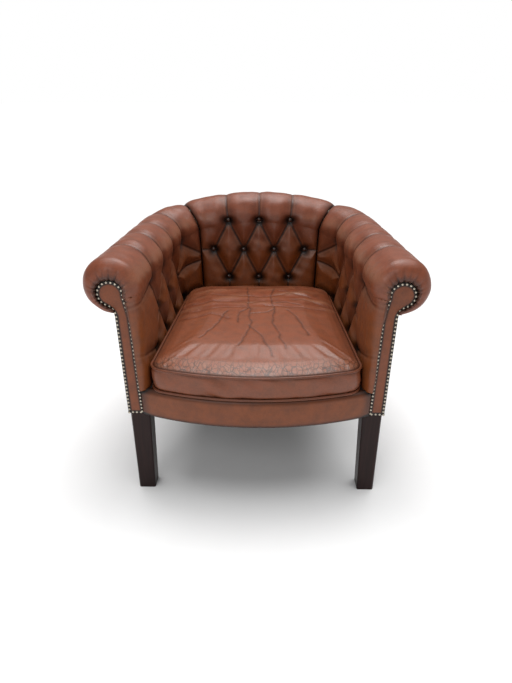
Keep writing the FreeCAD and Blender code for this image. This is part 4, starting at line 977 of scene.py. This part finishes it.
# Long soft creases across the seat, as places like those of the cracks
SEAT_CREASES = (
    ((-0.2, 0.1), (-0.08, 0.085), (0.03, 0.08), (0.1, 0.1), (0.16, 0.085)),
    ((-0.22, 0.05), (-0.12, 0.045), (-0.03, 0.03), (0.02, 0.045)),
    ((-0.23, -0.01), (-0.12, -0.005), (-0.03, -0.005)),
    ((0.06, 0.13), (0.12, 0.115), (0.19, 0.11)),
    ((-0.16, 0.16), (-0.05, 0.15), (0.06, 0.155), (0.14, 0.15)),
    ((0.02, 0.01), (0.1, 0.0), (0.2, 0.01)),
    ((-0.22, -0.06), (-0.14, -0.05), (-0.08, -0.09)),
    ((0.1, 0.06), (0.17, 0.06), (0.22, 0.045)),
)


def line_distance(place, line):
    """Distance of places from a broken line."""
    return np.minimum.reduce([segment_distance(place, a, b)[0] for a, b in zip(line, line[1:])])


def wrinkled(cushion, seams, sizes):
    """Presses creases, cracks and wrinkles into the cushion, and keeps where they are."""
    mesh = cushion.data
    count = len(mesh.vertices)
    points = np.zeros(count * 3)
    normals = np.zeros(count * 3)
    mesh.vertices.foreach_get("co", points)
    mesh.vertex_normals.foreach_get("vector", normals)
    points, normals = points.reshape(-1, 3), normals.reshape(-1, 3)
    low, high = seams
    top = smooth(high, high + 0.006, points[:, 2])
    side = smooth(low, low + 0.008, points[:, 2]) * (1 - smooth(high - 0.008, high, points[:, 2]))
    wander = np.stack((waves(points, 0.06, 21), waves(points, 0.06, 22)), -1) * 0.003
    place = points[:, :2] + wander
    crack = np.zeros(count)
    for line in SEAT_CRACKS:
        crack = np.maximum(crack, valley(line_distance(place, line), 0.008))
    crease = np.zeros(count)
    for line in SEAT_CREASES:
        crease = np.maximum(crease, valley(line_distance(place, line), 0.02))
    front = bow_level(sizes, np.clip(points[:, 0], -0.25, 0.25), 0.0)
    to_front = points[:, 1] - front
    edge = (1 - smooth(0.015, 0.07, to_front)) * top
    ripple = waves(points * (0.35, 1.4, 1), 0.06, 23) * (1 - smooth(-0.1, 0.1, -points[:, 1]))
    buckle = waves(np.stack((points[:, 0] * 1.2 + points[:, 2] * 1.5, points[:, 1],
                             points[:, 2] * 0.6), -1), 0.07, 24)
    height = top * (-0.002 * crack - 0.0024 * crease + 0.0011 * ripple)
    height += side * 0.0016 * buckle
    points += normals * height[:, None]
    pushed = top * smooth(0.0, 0.2, points[:, 1])
    points[:, 2] += sizes.rear_lift * pushed
    points[:, 1] += sizes.rear_lift * pushed ** 2
    mesh.vertices.foreach_set("co", points.ravel())
    # crease: dark cracks and painted shade in the soft creases; swell: painted highlight on ripple crests,
    # less in creases; worn: the worn front edge; seam: darker along both seams
    for key, values in (
            ("crease", np.clip(top * np.maximum(0.8 * crack, 0.3 * crease), 0, 1)),
            ("tan", np.clip(0.2 + 0.2 * ripple, 0, 1)),
            ("swell", np.clip(0.5 + 0.25 * ripple - 0.4 * crease, 0, 1)),
            ("worn", edge),
            ("seam", np.clip(np.exp(-((points[:, 2] - high) / 0.005) ** 2)
                             + np.exp(-((points[:, 2] - low) / 0.005) ** 2), 0, 1))):
        keep_values(mesh, key, values)
    mesh.shade_smooth()
    mesh.update()


# Finishes


class Socket:
    """A shader value that sums like a number, adding the Math nodes that it needs."""

    def __init__(self, finish, socket):
        self.finish = finish
        self.socket = socket

    def math(self, operation, other=None, swapped=False):
        values = [self, other] if not swapped else [other, self]
        values = [value for value in values if value is not None]
        return self.finish.add("ShaderNodeMath", {"operation": operation}, values)[0]

    def __add__(self, other):
        return self.math("ADD", other)

    __radd__ = __add__

    def __sub__(self, other):
        return self.math("SUBTRACT", other)

    def __rsub__(self, other):
        return self.math("SUBTRACT", other, True)

    def __mul__(self, other):
        return self.math("MULTIPLY", other)

    __rmul__ = __mul__

    def __pow__(self, other):
        return self.math("POWER", other)

    def clamp(self):
        return self.finish.add("ShaderNodeClamp", {}, [self])[0]

    def range(self, low, high, to_low=0.0, to_high=1.0):
        """The value carried from one span to another, with its ends held."""
        return self.finish.add("ShaderNodeMapRange", {"clamp": True},
                               [self, low, high, to_low, to_high])[0]


class Finish:
    """One material, built node by node."""

    def __init__(self, name):
        self.material = bpy.data.materials.new(name)
        self.material.use_nodes = True
        self.tree = self.material.node_tree
        self.tree.nodes.clear()
        self.place = self.add("ShaderNodeTexCoord", {}, [])["Object"]

    def add(self, kind, settings, values):
        """Adds a node of a type; values fill its sockets, in order or by name."""
        node = self.tree.nodes.new(kind)
        for key, value in settings.items():
            if key == "stops":
                self.stops(node, value)
            else:
                setattr(node, key, value)
        named = values.items() if isinstance(values, dict) else enumerate(values)
        for key, value in named:
            if isinstance(value, Socket):
                self.tree.links.new(value.socket, node.inputs[key])
            else:
                node.inputs[key].default_value = value
        return Outputs(self, node)

    def stops(self, node, stops):
        elements = node.color_ramp.elements
        while len(elements) > 1:
            elements.remove(elements[-1])
        elements[0].position, elements[0].color = stops[0][0], tuple(stops[0][1]) + (1,)
        for position, shade in stops[1:]:
            elements.new(position).color = tuple(shade) + (1,)

    def noise(self, scale, detail=3, roughness=0.55, place=None, distortion=0.0):
        values = {"Vector": place or self.place, "Scale": scale, "Detail": detail,
                  "Roughness": roughness, "Distortion": distortion}
        return self.add("ShaderNodeTexNoise", {}, values)["Fac"]

    def cells(self, scale, feature="DISTANCE_TO_EDGE", place=None):
        return self.add("ShaderNodeTexVoronoi", {"feature": feature},
                        {"Vector": place or self.place, "Scale": scale})["Distance"]

    def stretched(self, scale, turn=(0, 0, 0)):
        return self.add("ShaderNodeMapping", {},
                        {"Vector": self.place, "Scale": scale, "Rotation": turn})["Vector"]

    def attribute(self, name):
        return self.add("ShaderNodeAttribute", {"attribute_name": name}, [])["Fac"]

    def mix(self, share, first, second):
        """Two colours mixed, each a socket or three numbers."""
        first, second = [shade if isinstance(shade, Socket) else tuple(shade) + (1,)
                         for shade in (first, second)]
        return self.add("ShaderNodeMix", {"data_type": "RGBA", "clamp_factor": True},
                        {0: share, 6: first, 7: second})[2]

    def bump(self, height, strength, distance, below=None):
        values = {"Height": height, "Strength": strength, "Distance": distance}
        if below is not None:
            values["Normal"] = below
        return self.add("ShaderNodeBump", {}, values)["Normal"]

    def surface(self, **values):
        shader = self.add("ShaderNodeBsdfPrincipled", {},
                          {key.replace("_", " "): value for key, value in values.items()})
        self.add("ShaderNodeOutputMaterial", {}, {"Surface": shader[0]})
        return self.material


class Outputs:
    """The outputs of one node, wrapped."""

    def __init__(self, finish, node):
        self.finish = finish
        self.node = node

    def __getitem__(self, key):
        return Socket(self.finish, self.node.outputs[key])


def leather(name, colours, cushion=False, plain=False, dark=0.0):
    """Hand-rubbed antique leather: red-brown and tan, with dark polish and painted shade in the creases, and
    rubbed paleness with painted highlights on high spots.
    """
    finish = Finish(name)
    cloudy = finish.noise(9, 4, 0.6)
    mottled = finish.noise(38, 4, 0.6)
    fine = finish.noise(260, 3, 0.6)
    if plain:
        crease, tan, swell = cloudy * 0.1 + dark, cloudy * 0.5 + 0.1, cloudy * 0.5 + 0.2
    else:
        crease = finish.attribute("crease")
        tan, swell = finish.attribute("tan"), finish.attribute("swell")
    tan = (tan + (cloudy - 0.5) * 0.7).clamp()
    base = finish.mix(tan, colours.red_brown, colours.tan)
    # Rubbed paleness and painted highlights, from each point's swell value
    rub_and_highlight = (swell.range(0.35, 1.0) * mottled.range(0.3, 0.65, 0.35, 1) * 0.8).clamp()
    base = finish.mix(rub_and_highlight, base, colours.bloom_and_highlight)
    shade = ((mottled - 0.5) * 0.9 + (fine - 0.5) * 0.5 + 0.12).clamp()
    base = finish.mix(shade, base, colours.burnish_and_shade)
    # Dark polish and painted shade, from each point's crease value
    polish_and_shade = ((crease * 1.1) ** 1.1 + (cloudy - 0.5) * 0.4 * crease).clamp()
    base = finish.mix(polish_and_shade, base, colours.burnish_and_shade)
    if cushion:
        worn = finish.attribute("worn")
        first = finish.stretched((1, 0.45, 1), (0, 0, 0.6))
        second = finish.stretched((1, 0.45, 1), (0, 0, -0.65))
        hatch = (finish.cells(75, place=first).range(0, 0.06, 1, 0)
                 + finish.cells(75, place=second).range(0, 0.06, 1, 0)).clamp()
        base = finish.mix((worn * 0.42 * mottled.range(0.3, 0.6)).clamp(), base, colours.bloom_and_highlight)
        base = finish.mix((worn * hatch * 0.75).clamp(), base, colours.burnish_and_shade)
        base = finish.mix((finish.attribute("seam") * 0.75).clamp(), base, colours.burnish_and_shade)
    rough = (cloudy.range(0.3, 0.7, 0.3, 0.4) + (1 - swell) * 0.05 + crease * 0.06).clamp()
    pores = finish.cells(620)
    wrinkles = finish.noise(120, 5, 0.65, distortion=1.2)
    bump = finish.bump(wrinkles, 0.22, 0.002)
    bump = finish.bump(pores, 0.14, 0.0006, bump)
    return finish.surface(Base_Color=base, Roughness=rough, Normal=bump, Specular_IOR_Level=0.42)


def polished_wood(name, colours):
    """Dark mahogany with a drawn-out grain, worn pale in scattered streaks."""
    finish = Finish(name)
    grain_place = finish.stretched((38, 38, 2.2))
    grain = finish.noise(2.2, 6, 0.65, grain_place, 1.5)
    pores = finish.noise(9, 4, 0.7, grain_place)
    scuffs = finish.noise(46, 5, 0.7, finish.stretched((1, 1, 0.35)))
    base = finish.mix(grain.range(0.3, 0.7), colours.mahogany, scaled(colours.mahogany, 2.6))
    base = finish.mix(pores.range(0.55, 0.8) * 0.6, base, (0.008, 0.004, 0.003))
    base = finish.mix(scuffs.range(0.66, 0.74) * 0.55, base, colours.scuff)
    rough = grain.range(0.2, 0.8, 0.28, 0.42) + scuffs.range(0.6, 0.75) * 0.2
    bump = finish.bump(pores, 0.15, 0.0006)
    return finish.surface(Base_Color=base, Roughness=rough, Normal=bump, Specular_IOR_Level=0.2)


def bare_wood(name, colours, share):
    """Planed beech: fine flecks along the grain."""
    finish = Finish(name)
    place = finish.stretched((9, 9, 34))
    grain = finish.noise(3, 5, 0.6, place, 0.8)
    flecks = finish.cells(16, "F1", place)
    base = finish.mix(grain.range(0.3, 0.7), colours.beech, scaled(colours.beech, share))
    base = finish.mix(flecks.range(0.0, 0.12, 0.5, 0.0), base, (0.24, 0.13, 0.07))
    return finish.surface(Base_Color=base, Roughness=grain.range(0, 1, 0.5, 0.7),
                          Normal=finish.bump(grain, 0.2, 0.0008))


def woven(name, shade, threads, gap):
    """Plain weave: threads over and under each other."""
    finish = Finish(name)
    waves_across = finish.add("ShaderNodeTexWave", {"bands_direction": "X"},
                              {"Vector": finish.place, "Scale": threads, "Distortion": 0.6})["Fac"]
    waves_along = finish.add("ShaderNodeTexWave", {"bands_direction": "Y"},
                             {"Vector": finish.place, "Scale": threads, "Distortion": 0.6})["Fac"]
    weave = (waves_across + waves_along) * 0.5
    patch = finish.noise(30, 4, 0.6)
    lit = (weave.range(0.1, 0.6) * 0.7 + patch * 0.3).clamp()
    base = finish.mix(lit, scaled(shade, gap), shade)
    return finish.surface(Base_Color=base, Roughness=patch.range(0, 1, 0.8, 0.95),
                          Normal=finish.bump(weave, 0.5, 0.0015))


def fibrous(name, shade):
    """Matted fibre or open foam."""
    finish = Finish(name)
    mat = finish.noise(90, 6, 0.75, distortion=2.0)
    holes = finish.cells(240)
    base = finish.mix(mat.range(0.3, 0.7), scaled(shade, 0.7), shade)
    return finish.surface(Base_Color=base, Roughness=mat.range(0, 1, 0.85, 1.0),
                          Normal=finish.bump(mat + holes * 0.4, 0.6, 0.003))


def antique_metal(name, colours):
    """Nail heads: worn bright on top, tarnished in patches."""
    finish = Finish(name)
    patch = finish.noise(420, 3, 0.6)
    face = sizes_of("roll").front_plane + sizes_of("facing").thickness
    depth = finish.add("ShaderNodeSeparateXYZ", {}, {"Vector": finish.place})["Y"]
    crest = (0 - depth).range(face + 0.0008, face + 0.0024)
    bright = (crest * patch.range(0.2, 0.5, 0.5, 1.0)).clamp()
    base = finish.mix(bright, colours.tarnish, colours.nail)
    return finish.surface(Base_Color=base, Metallic=0.9, Roughness=patch.range(0.2, 0.8, 0.36, 0.22),
                          Normal=finish.bump(patch, 0.15, 0.0004))


def steel(name):
    """Zinc-plated screws."""
    finish = Finish(name)
    patch = finish.noise(160, 4, 0.6)
    base = finish.mix(patch.range(0.3, 0.7), (0.42, 0.42, 0.43), (0.6, 0.6, 0.62))
    return finish.surface(Base_Color=base, Metallic=1.0, Roughness=patch.range(0, 1, 0.25, 0.45))


def dark_leather(name, colours):
    """Leather rubbed almost black, with a polish: the buttons."""
    finish = Finish(name)
    patch = finish.noise(150, 4, 0.6)
    base = finish.mix(patch.range(0.4, 0.75), scaled(colours.burnish_and_shade, 2), scaled(colours.red_brown, 0.32))
    return finish.surface(Base_Color=base, Roughness=patch.range(0.2, 0.8, 0.22, 0.36),
                          Normal=finish.bump(patch, 0.12, 0.0005), Coat_Weight=0.3, Coat_Roughness=0.2)


def scaled(shade, share):
    """The colour, each of its numbers times a share."""
    return tuple(value * share for value in shade)


def paint(made, material):
    made.data.materials.clear()
    made.data.materials.append(material)


def sizes_of(name):
    return getattr(bpy.context.scene, "armchair_" + name)


# Operators


class ARMCHAIR_OT_inside_covers(bpy.types.Operator):
    """Builds the buttoned and pleated inside covers of the arms and the back"""

    bl_idname = "armchair.inside_covers"
    bl_label = "Inside covers"

    def execute(self, context):
        roll, buttoning = sizes_of("roll"), sizes_of("buttoning")
        horseshoe = Horseshoe(roll)
        finish = leather("buttoned_leather", sizes_of("colours"))
        covers = [(arm_cover("buttoned_arm_%s" % side, horseshoe, roll, buttoning, sizes_of("facing"),
                             side == "left"), "inside_arm_cover_%s" % side)
                  for side in ("left", "right")]
        covers.append((back_cover("buttoned_back", horseshoe, roll, buttoning), "inside_back_cover"))
        for made, node in covers:
            paint(made, finish)
            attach(made, "chair")
            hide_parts(node)
        return {"FINISHED"}


class ARMCHAIR_OT_buttons(bpy.types.Operator):
    """Sets a covered button in every pit"""

    bl_idname = "armchair.buttons"
    bl_label = "Buttons"

    def execute(self, context):
        roll, buttoning = sizes_of("roll"), sizes_of("buttoning")
        found = button_places(Horseshoe(roll), roll, buttoning)
        base = points_object("button_places", [place for place, _ in found], [way for _, way in found])
        tree = dome_tree("covered buttons", dark_leather("button_leather", sizes_of("colours")), 16, 10)
        made = tree.apply(base, "covered_buttons", {"Radius": buttoning.button_radius, "Flatness": 0.62})
        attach(made, "chair")
        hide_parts("back_buttons", "arm_buttons_left", "arm_buttons_right")
        return {"FINISHED"}


class ARMCHAIR_OT_facings(bpy.types.Operator):
    """Builds the leather facings on the fronts of the arms"""

    bl_idname = "armchair.facings"
    bl_label = "Facings"

    def execute(self, context):
        finish = leather("facing_leather", sizes_of("colours"))
        for side in ("left", "right"):
            made = facing_piece("scrolled_facing_%s" % side, sizes_of("facing"), sizes_of("roll"),
                                side == "left")
            paint(made, finish)
            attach(made, "chair")
            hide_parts("front_facing_%s" % side)
        return {"FINISHED"}


class ARMCHAIR_OT_nails(bpy.types.Operator):
    """Drives domed nails close together round both facings"""

    bl_idname = "armchair.nails"
    bl_label = "Facing nails"

    def execute(self, context):
        facing, roll = sizes_of("facing"), sizes_of("roll")
        line = inset_outline(facing_outline(facing, roll, 0), facing.nail_inset)
        places = resample(line, facing.nail_pitch)
        depth = -(roll.front_plane + facing.thickness)
        points = [(side * x, depth, z) for side in (-1, 1) for x, z in places]
        base = points_object("nail_places", points, [(0, -1, 0)] * len(points))
        tree = dome_tree("domed nails", antique_metal("antique_nail", sizes_of("colours")), 10, 6)
        made = tree.apply(base, "domed_nails", {"Radius": facing.nail_radius, "Flatness": 0.7})
        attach(made, "chair")
        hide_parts("facing_nails_left", "facing_nails_right")
        return {"FINISHED"}


def swept_panel(name, horseshoe, stations, offset, low, high, thickness):
    """A leather panel stretched along the outside of the wall, with round edges."""
    points, _, inwards, _ = horseshoe.frames(stations)
    flat = points * (1, 1, 0)
    levels = np.concatenate(([low], np.linspace(low + 0.001, high - 0.001, 24), [high]))
    edge = np.concatenate(([thickness * 0.6], np.zeros(24), [thickness * 0.6]))
    outer = (flat[:, None] + inwards[:, None] * (offset + edge)[None, :, None]
             + UP * levels[None, :, None])
    normals = np.broadcast_to(-inwards[:, None], outer.shape)
    shape = outer.shape[:2]
    # Darker along the panel's bottom 12 mm
    dark_near_foot = 0.75 * (1 - smooth(0, 0.012, levels - low))
    attributes = {"crease": np.broadcast_to(dark_near_foot[None], shape), "tan": np.full(shape, 0.35),
                  "swell": np.full(shape, 0.4)}
    return shell(name, outer, normals, thickness, attributes)


class ARMCHAIR_OT_outside_covers(bpy.types.Operator):
    """Stretches the plain outside covers of the arms and the back"""

    bl_idname = "armchair.outside_covers"
    bl_label = "Outside covers"

    def execute(self, context):
        roll, buttoning = sizes_of("roll"), sizes_of("buttoning")
        horseshoe = Horseshoe(roll)
        seam = horseshoe.seam_station(buttoning.seam_angle, roll.arm_splay)
        whole = 2 * horseshoe.half
        finish = leather("outside_leather", sizes_of("colours"))
        inset, thickness = 0.0076, 0.003
        spans = (("outside_arm_cover_right", 0.0, seam), ("outside_back_cover", seam, whole - seam),
                 ("outside_arm_cover_left", whole - seam, whole))
        for node, begin, end in spans:
            low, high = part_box(node)
            stations = np.linspace(begin, end, round((end - begin) / 0.012))
            made = swept_panel(node.replace("outside", "stretched"), horseshoe, stations, inset,
                               low.z, high.z, thickness)
            paint(made, finish)
            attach(made, "chair")
            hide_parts(node)
        return {"FINISHED"}


class ARMCHAIR_OT_front_border(bpy.types.Operator):
    """Pads the leather border over the bowed front rail"""

    bl_idname = "armchair.front_border"
    bl_label = "Front border"

    def execute(self, context):
        cushion, roll, facing = sizes_of("cushion"), sizes_of("roll"), sizes_of("facing")
        half = facing.inner_foot - 0.0004
        x = np.linspace(-half, half, 150)
        levels = np.linspace(0, 1, 26)
        rows = RAIL_FOOT + (DECK_TOP - RAIL_FOOT) * levels
        swell = 0.0035 * np.sin(math.pi * np.clip(levels, 0, 1)) ** 0.6
        tuck = 0.012 * np.maximum(0, (levels - 0.9) / 0.1) ** 2
        deeper = -cushion.border - swell + tuck
        y = bow_level(cushion, x[:, None], deeper[None, :] + 0.0015)
        y = np.minimum(y, -roll.front_plane - 0.001)
        grid = np.stack((np.broadcast_to(x[:, None], y.shape), y,
                         np.broadcast_to(rows[None], y.shape)), -1)
        normals = -grid_normals(grid)
        # Painted shade along the top edge under the cushion, along the bottom edge, and at both ends beside
        # the facings
        edge = np.maximum(1 - smooth(0, 0.16, levels), smooth(0.8, 1, levels))[None] * 0.75
        ends = 1 - smooth(0, 0.03, half - np.abs(x))[:, None]
        attributes = {"crease": np.clip(edge + ends * 0.6, 0, 1) * np.ones(y.shape),
                      "tan": np.full(y.shape, 0.85), "swell": np.full(y.shape, 0.35)}
        made = shell("padded_border", grid, normals, 0.004, attributes)
        paint(made, leather("border_leather", sizes_of("colours")))
        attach(made, "chair")
        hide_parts("front_border_cover")
        return {"FINISHED"}


class ARMCHAIR_OT_cushion(bpy.types.Operator):
    """Fills, creases and pipes the loose seat cushion"""

    bl_idname = "armchair.cushion"
    bl_label = "Seat cushion"

    def execute(self, context):
        cushion, roll = sizes_of("cushion"), sizes_of("roll")
        horseshoe = Horseshoe(roll)
        low, high = [(box[0].z + box[1].z) / 2 for box in CUSHION_SEAMS]
        outline = cushion_outline(horseshoe, roll, cushion, 0.0, 0.008)
        crown = CUSHION_TOP - high
        points, faces = cushion_blank(outline, low, high, crown * 1.08)
        made = make_object("seat_cushion_leather", points, faces)
        filled_out(made, ((outline, low), (outline, high)), 0.005, 0.005)
        finer = made.modifiers.new("finer", "SUBSURF")
        finer.levels = finer.render_levels = 1
        with context.temp_override(object=made, active_object=made, selected_objects=[made]):
            bpy.ops.object.modifier_apply(modifier=finer.name)
        wrinkled(made, (low, high), cushion)
        paint(made, leather("cushion_leather", sizes_of("colours"), cushion=True))
        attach(made, "seat_cushion")
        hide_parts("cushion_cover")
        pipe = leather("piping_leather", sizes_of("colours"), plain=True, dark=0.25)
        for node, level in (("cushion_piping_bottom", low), ("cushion_piping_top", high)):
            ring = cushion_outline(horseshoe, roll, cushion, cushion.piping * 0.8, 0.006)
            mesh = bpy.data.meshes.new(node)
            count = len(ring)
            mesh.from_pydata([(x, y, level) for x, y in ring],
                             [(step, (step + 1) % count) for step in range(count)], [])
            base = linked(node + "_line", mesh)
            tree = piping_tree(node + " tube", pipe)
            tube = tree.apply(base, node.replace("cushion_", "") + "_welt",
                              {"Radius": cushion.piping, "Step": 0.005})
            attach(tube, "seat_cushion")
            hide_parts(node)
        return {"FINISHED"}


class ARMCHAIR_OT_frame_finishes(bpy.types.Operator):
    """Gives the legs and the inner pieces their finishes"""

    bl_idname = "armchair.frame_finishes"
    bl_label = "Frame finishes"

    def execute(self, context):
        colours = sizes_of("colours")
        finishes = {
            "mahogany": polished_wood("polished_mahogany", colours),
            "beech": bare_wood("planed_beech", colours, 0.82),
            "glue_block_wood": bare_wood("sawn_block", colours, 0.7),
            "screw_steel": steel("zinc_steel"),
            "webbing": woven("jute_webbing", colours.jute, 90, 0.5),
            "hessian": woven("jute_hessian", colours.jute, 160, 0.35),
            "deck_cloth": woven("platform_cloth", colours.cloth, 220, 0.5),
            "dust_cloth": woven("dust_cloth", colours.cloth, 260, 0.6),
            "stuffing": fibrous("carded_fibre", colours.fibre),
            "foam": fibrous("cushion_foam", colours.fibre),
        }
        for part in frame["record"]["subparts"]:
            if part["material_slot"] in finishes:
                node = frame["nodes"][part["node"]]
                paint(node, finishes[part["material_slot"]])
        return {"FINISHED"}


class ARMCHAIR_OT_stage(bpy.types.Operator):
    """Sets the pale floor, the soft lights and the camera"""

    bl_idname = "armchair.stage"
    bl_label = "Stage"

    def execute(self, context):
        view, scene = sizes_of("view"), context.scene
        floor = Finish("studio_floor")
        speckle = floor.noise(14, 3, 0.5)
        tone = sizes_of("colours").floor
        base = floor.mix(speckle.range(0.3, 0.7), tone, scaled(tone, 0.99))
        matt = floor.add("ShaderNodeBsdfDiffuse", {}, {"Color": base})
        floor.add("ShaderNodeOutputMaterial", {}, {"Surface": matt[0]})
        half = 60
        corners = [(-half, -half, 0), (half, -half, 0), (half, half, 0), (-half, half, 0)]
        ground = make_object("floor", corners, [(0, 1, 2, 3)])
        paint(ground, floor.material)

        world = bpy.data.worlds.new("studio")
        scene.world = world
        world.use_nodes = True
        nodes, links = world.node_tree.nodes, world.node_tree.links
        nodes.clear()
        path = nodes.new("ShaderNodeLightPath")
        strength = nodes.new("ShaderNodeMapRange")
        strength.inputs["To Min"].default_value = 0.33
        strength.inputs["To Max"].default_value = 1.0
        back = nodes.new("ShaderNodeBackground")
        back.inputs["Color"].default_value = (1, 1, 1, 1)
        end = nodes.new("ShaderNodeOutputWorld")
        links.new(path.outputs["Is Camera Ray"], strength.inputs["Value"])
        links.new(strength.outputs[0], back.inputs["Strength"])
        links.new(back.outputs[0], end.inputs["Surface"])

        aim = Vector((0, 0, 0.4))
        sky = bpy.data.lights.new("sky panel", "SUN")
        sky.energy = 2.85
        sky.angle = math.radians(70)
        linked("sky panel", sky).rotation_euler = (math.radians(-12), math.radians(4), 0)
        for name, place, size, power in (
                ("overhead", (0.1, 0.3, 2.4), 1.0, 14),
                ("front", (-0.9, -2.4, 1.9), 1.2, 14)):
            lamp = bpy.data.lights.new(name, "AREA")
            lamp.size = size
            lamp.energy = power
            made = linked(name, lamp)
            made.location = place
            made.rotation_euler = (aim - Vector(place)).to_track_quat("-Z", "Y").to_euler()

        camera = bpy.data.cameras.new("camera")
        camera.lens = view.lens
        camera.clip_end = 100
        holder = linked("camera", camera)
        holder.location = (view.side, -view.distance, view.height)
        holder.rotation_euler = (math.pi / 2 - view.pitch, 0, view.yaw)
        scene.camera = holder
        scene.view_settings.view_transform = "Standard"
        return {"FINISHED"}


OPERATORS = (
    ARMCHAIR_OT_stage,
    ARMCHAIR_OT_frame_finishes,
    ARMCHAIR_OT_inside_covers,
    ARMCHAIR_OT_buttons,
    ARMCHAIR_OT_facings,
    ARMCHAIR_OT_nails,
    ARMCHAIR_OT_outside_covers,
    ARMCHAIR_OT_front_border,
    ARMCHAIR_OT_cushion,
)


class ARMCHAIR_PT_panel(bpy.types.Panel):
    """Lists the pieces of the armchair"""

    bl_idname = "ARMCHAIR_PT_panel"
    bl_label = "Armchair"
    bl_space_type = "VIEW_3D"
    bl_region_type = "UI"
    bl_category = "Armchair"

    def draw(self, context):
        for operator in OPERATORS:
            self.layout.operator(operator.bl_idname)


SIZE_GROUPS = {
    "roll": RollSizes,
    "buttoning": ButtoningSizes,
    "facing": FacingSizes,
    "cushion": CushionSizes,
    "colours": Colours,
    "view": View,
}
CLASSES = (*SIZE_GROUPS.values(), *OPERATORS, ARMCHAIR_PT_panel)


def register():
    for made in CLASSES:
        bpy.utils.register_class(made)
    for name, group in SIZE_GROUPS.items():
        setattr(bpy.types.Scene, "armchair_" + name, PointerProperty(type=group))


def unregister():
    for name in SIZE_GROUPS:
        delattr(bpy.types.Scene, "armchair_" + name)
    for made in reversed(CLASSES):
        bpy.utils.unregister_class(made)


def main():
    register()
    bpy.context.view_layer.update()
    for operator in OPERATORS:
        group, name = operator.bl_idname.split(".")
        getattr(getattr(bpy.ops, group), name)()


if __name__ == "__main__":
    main()
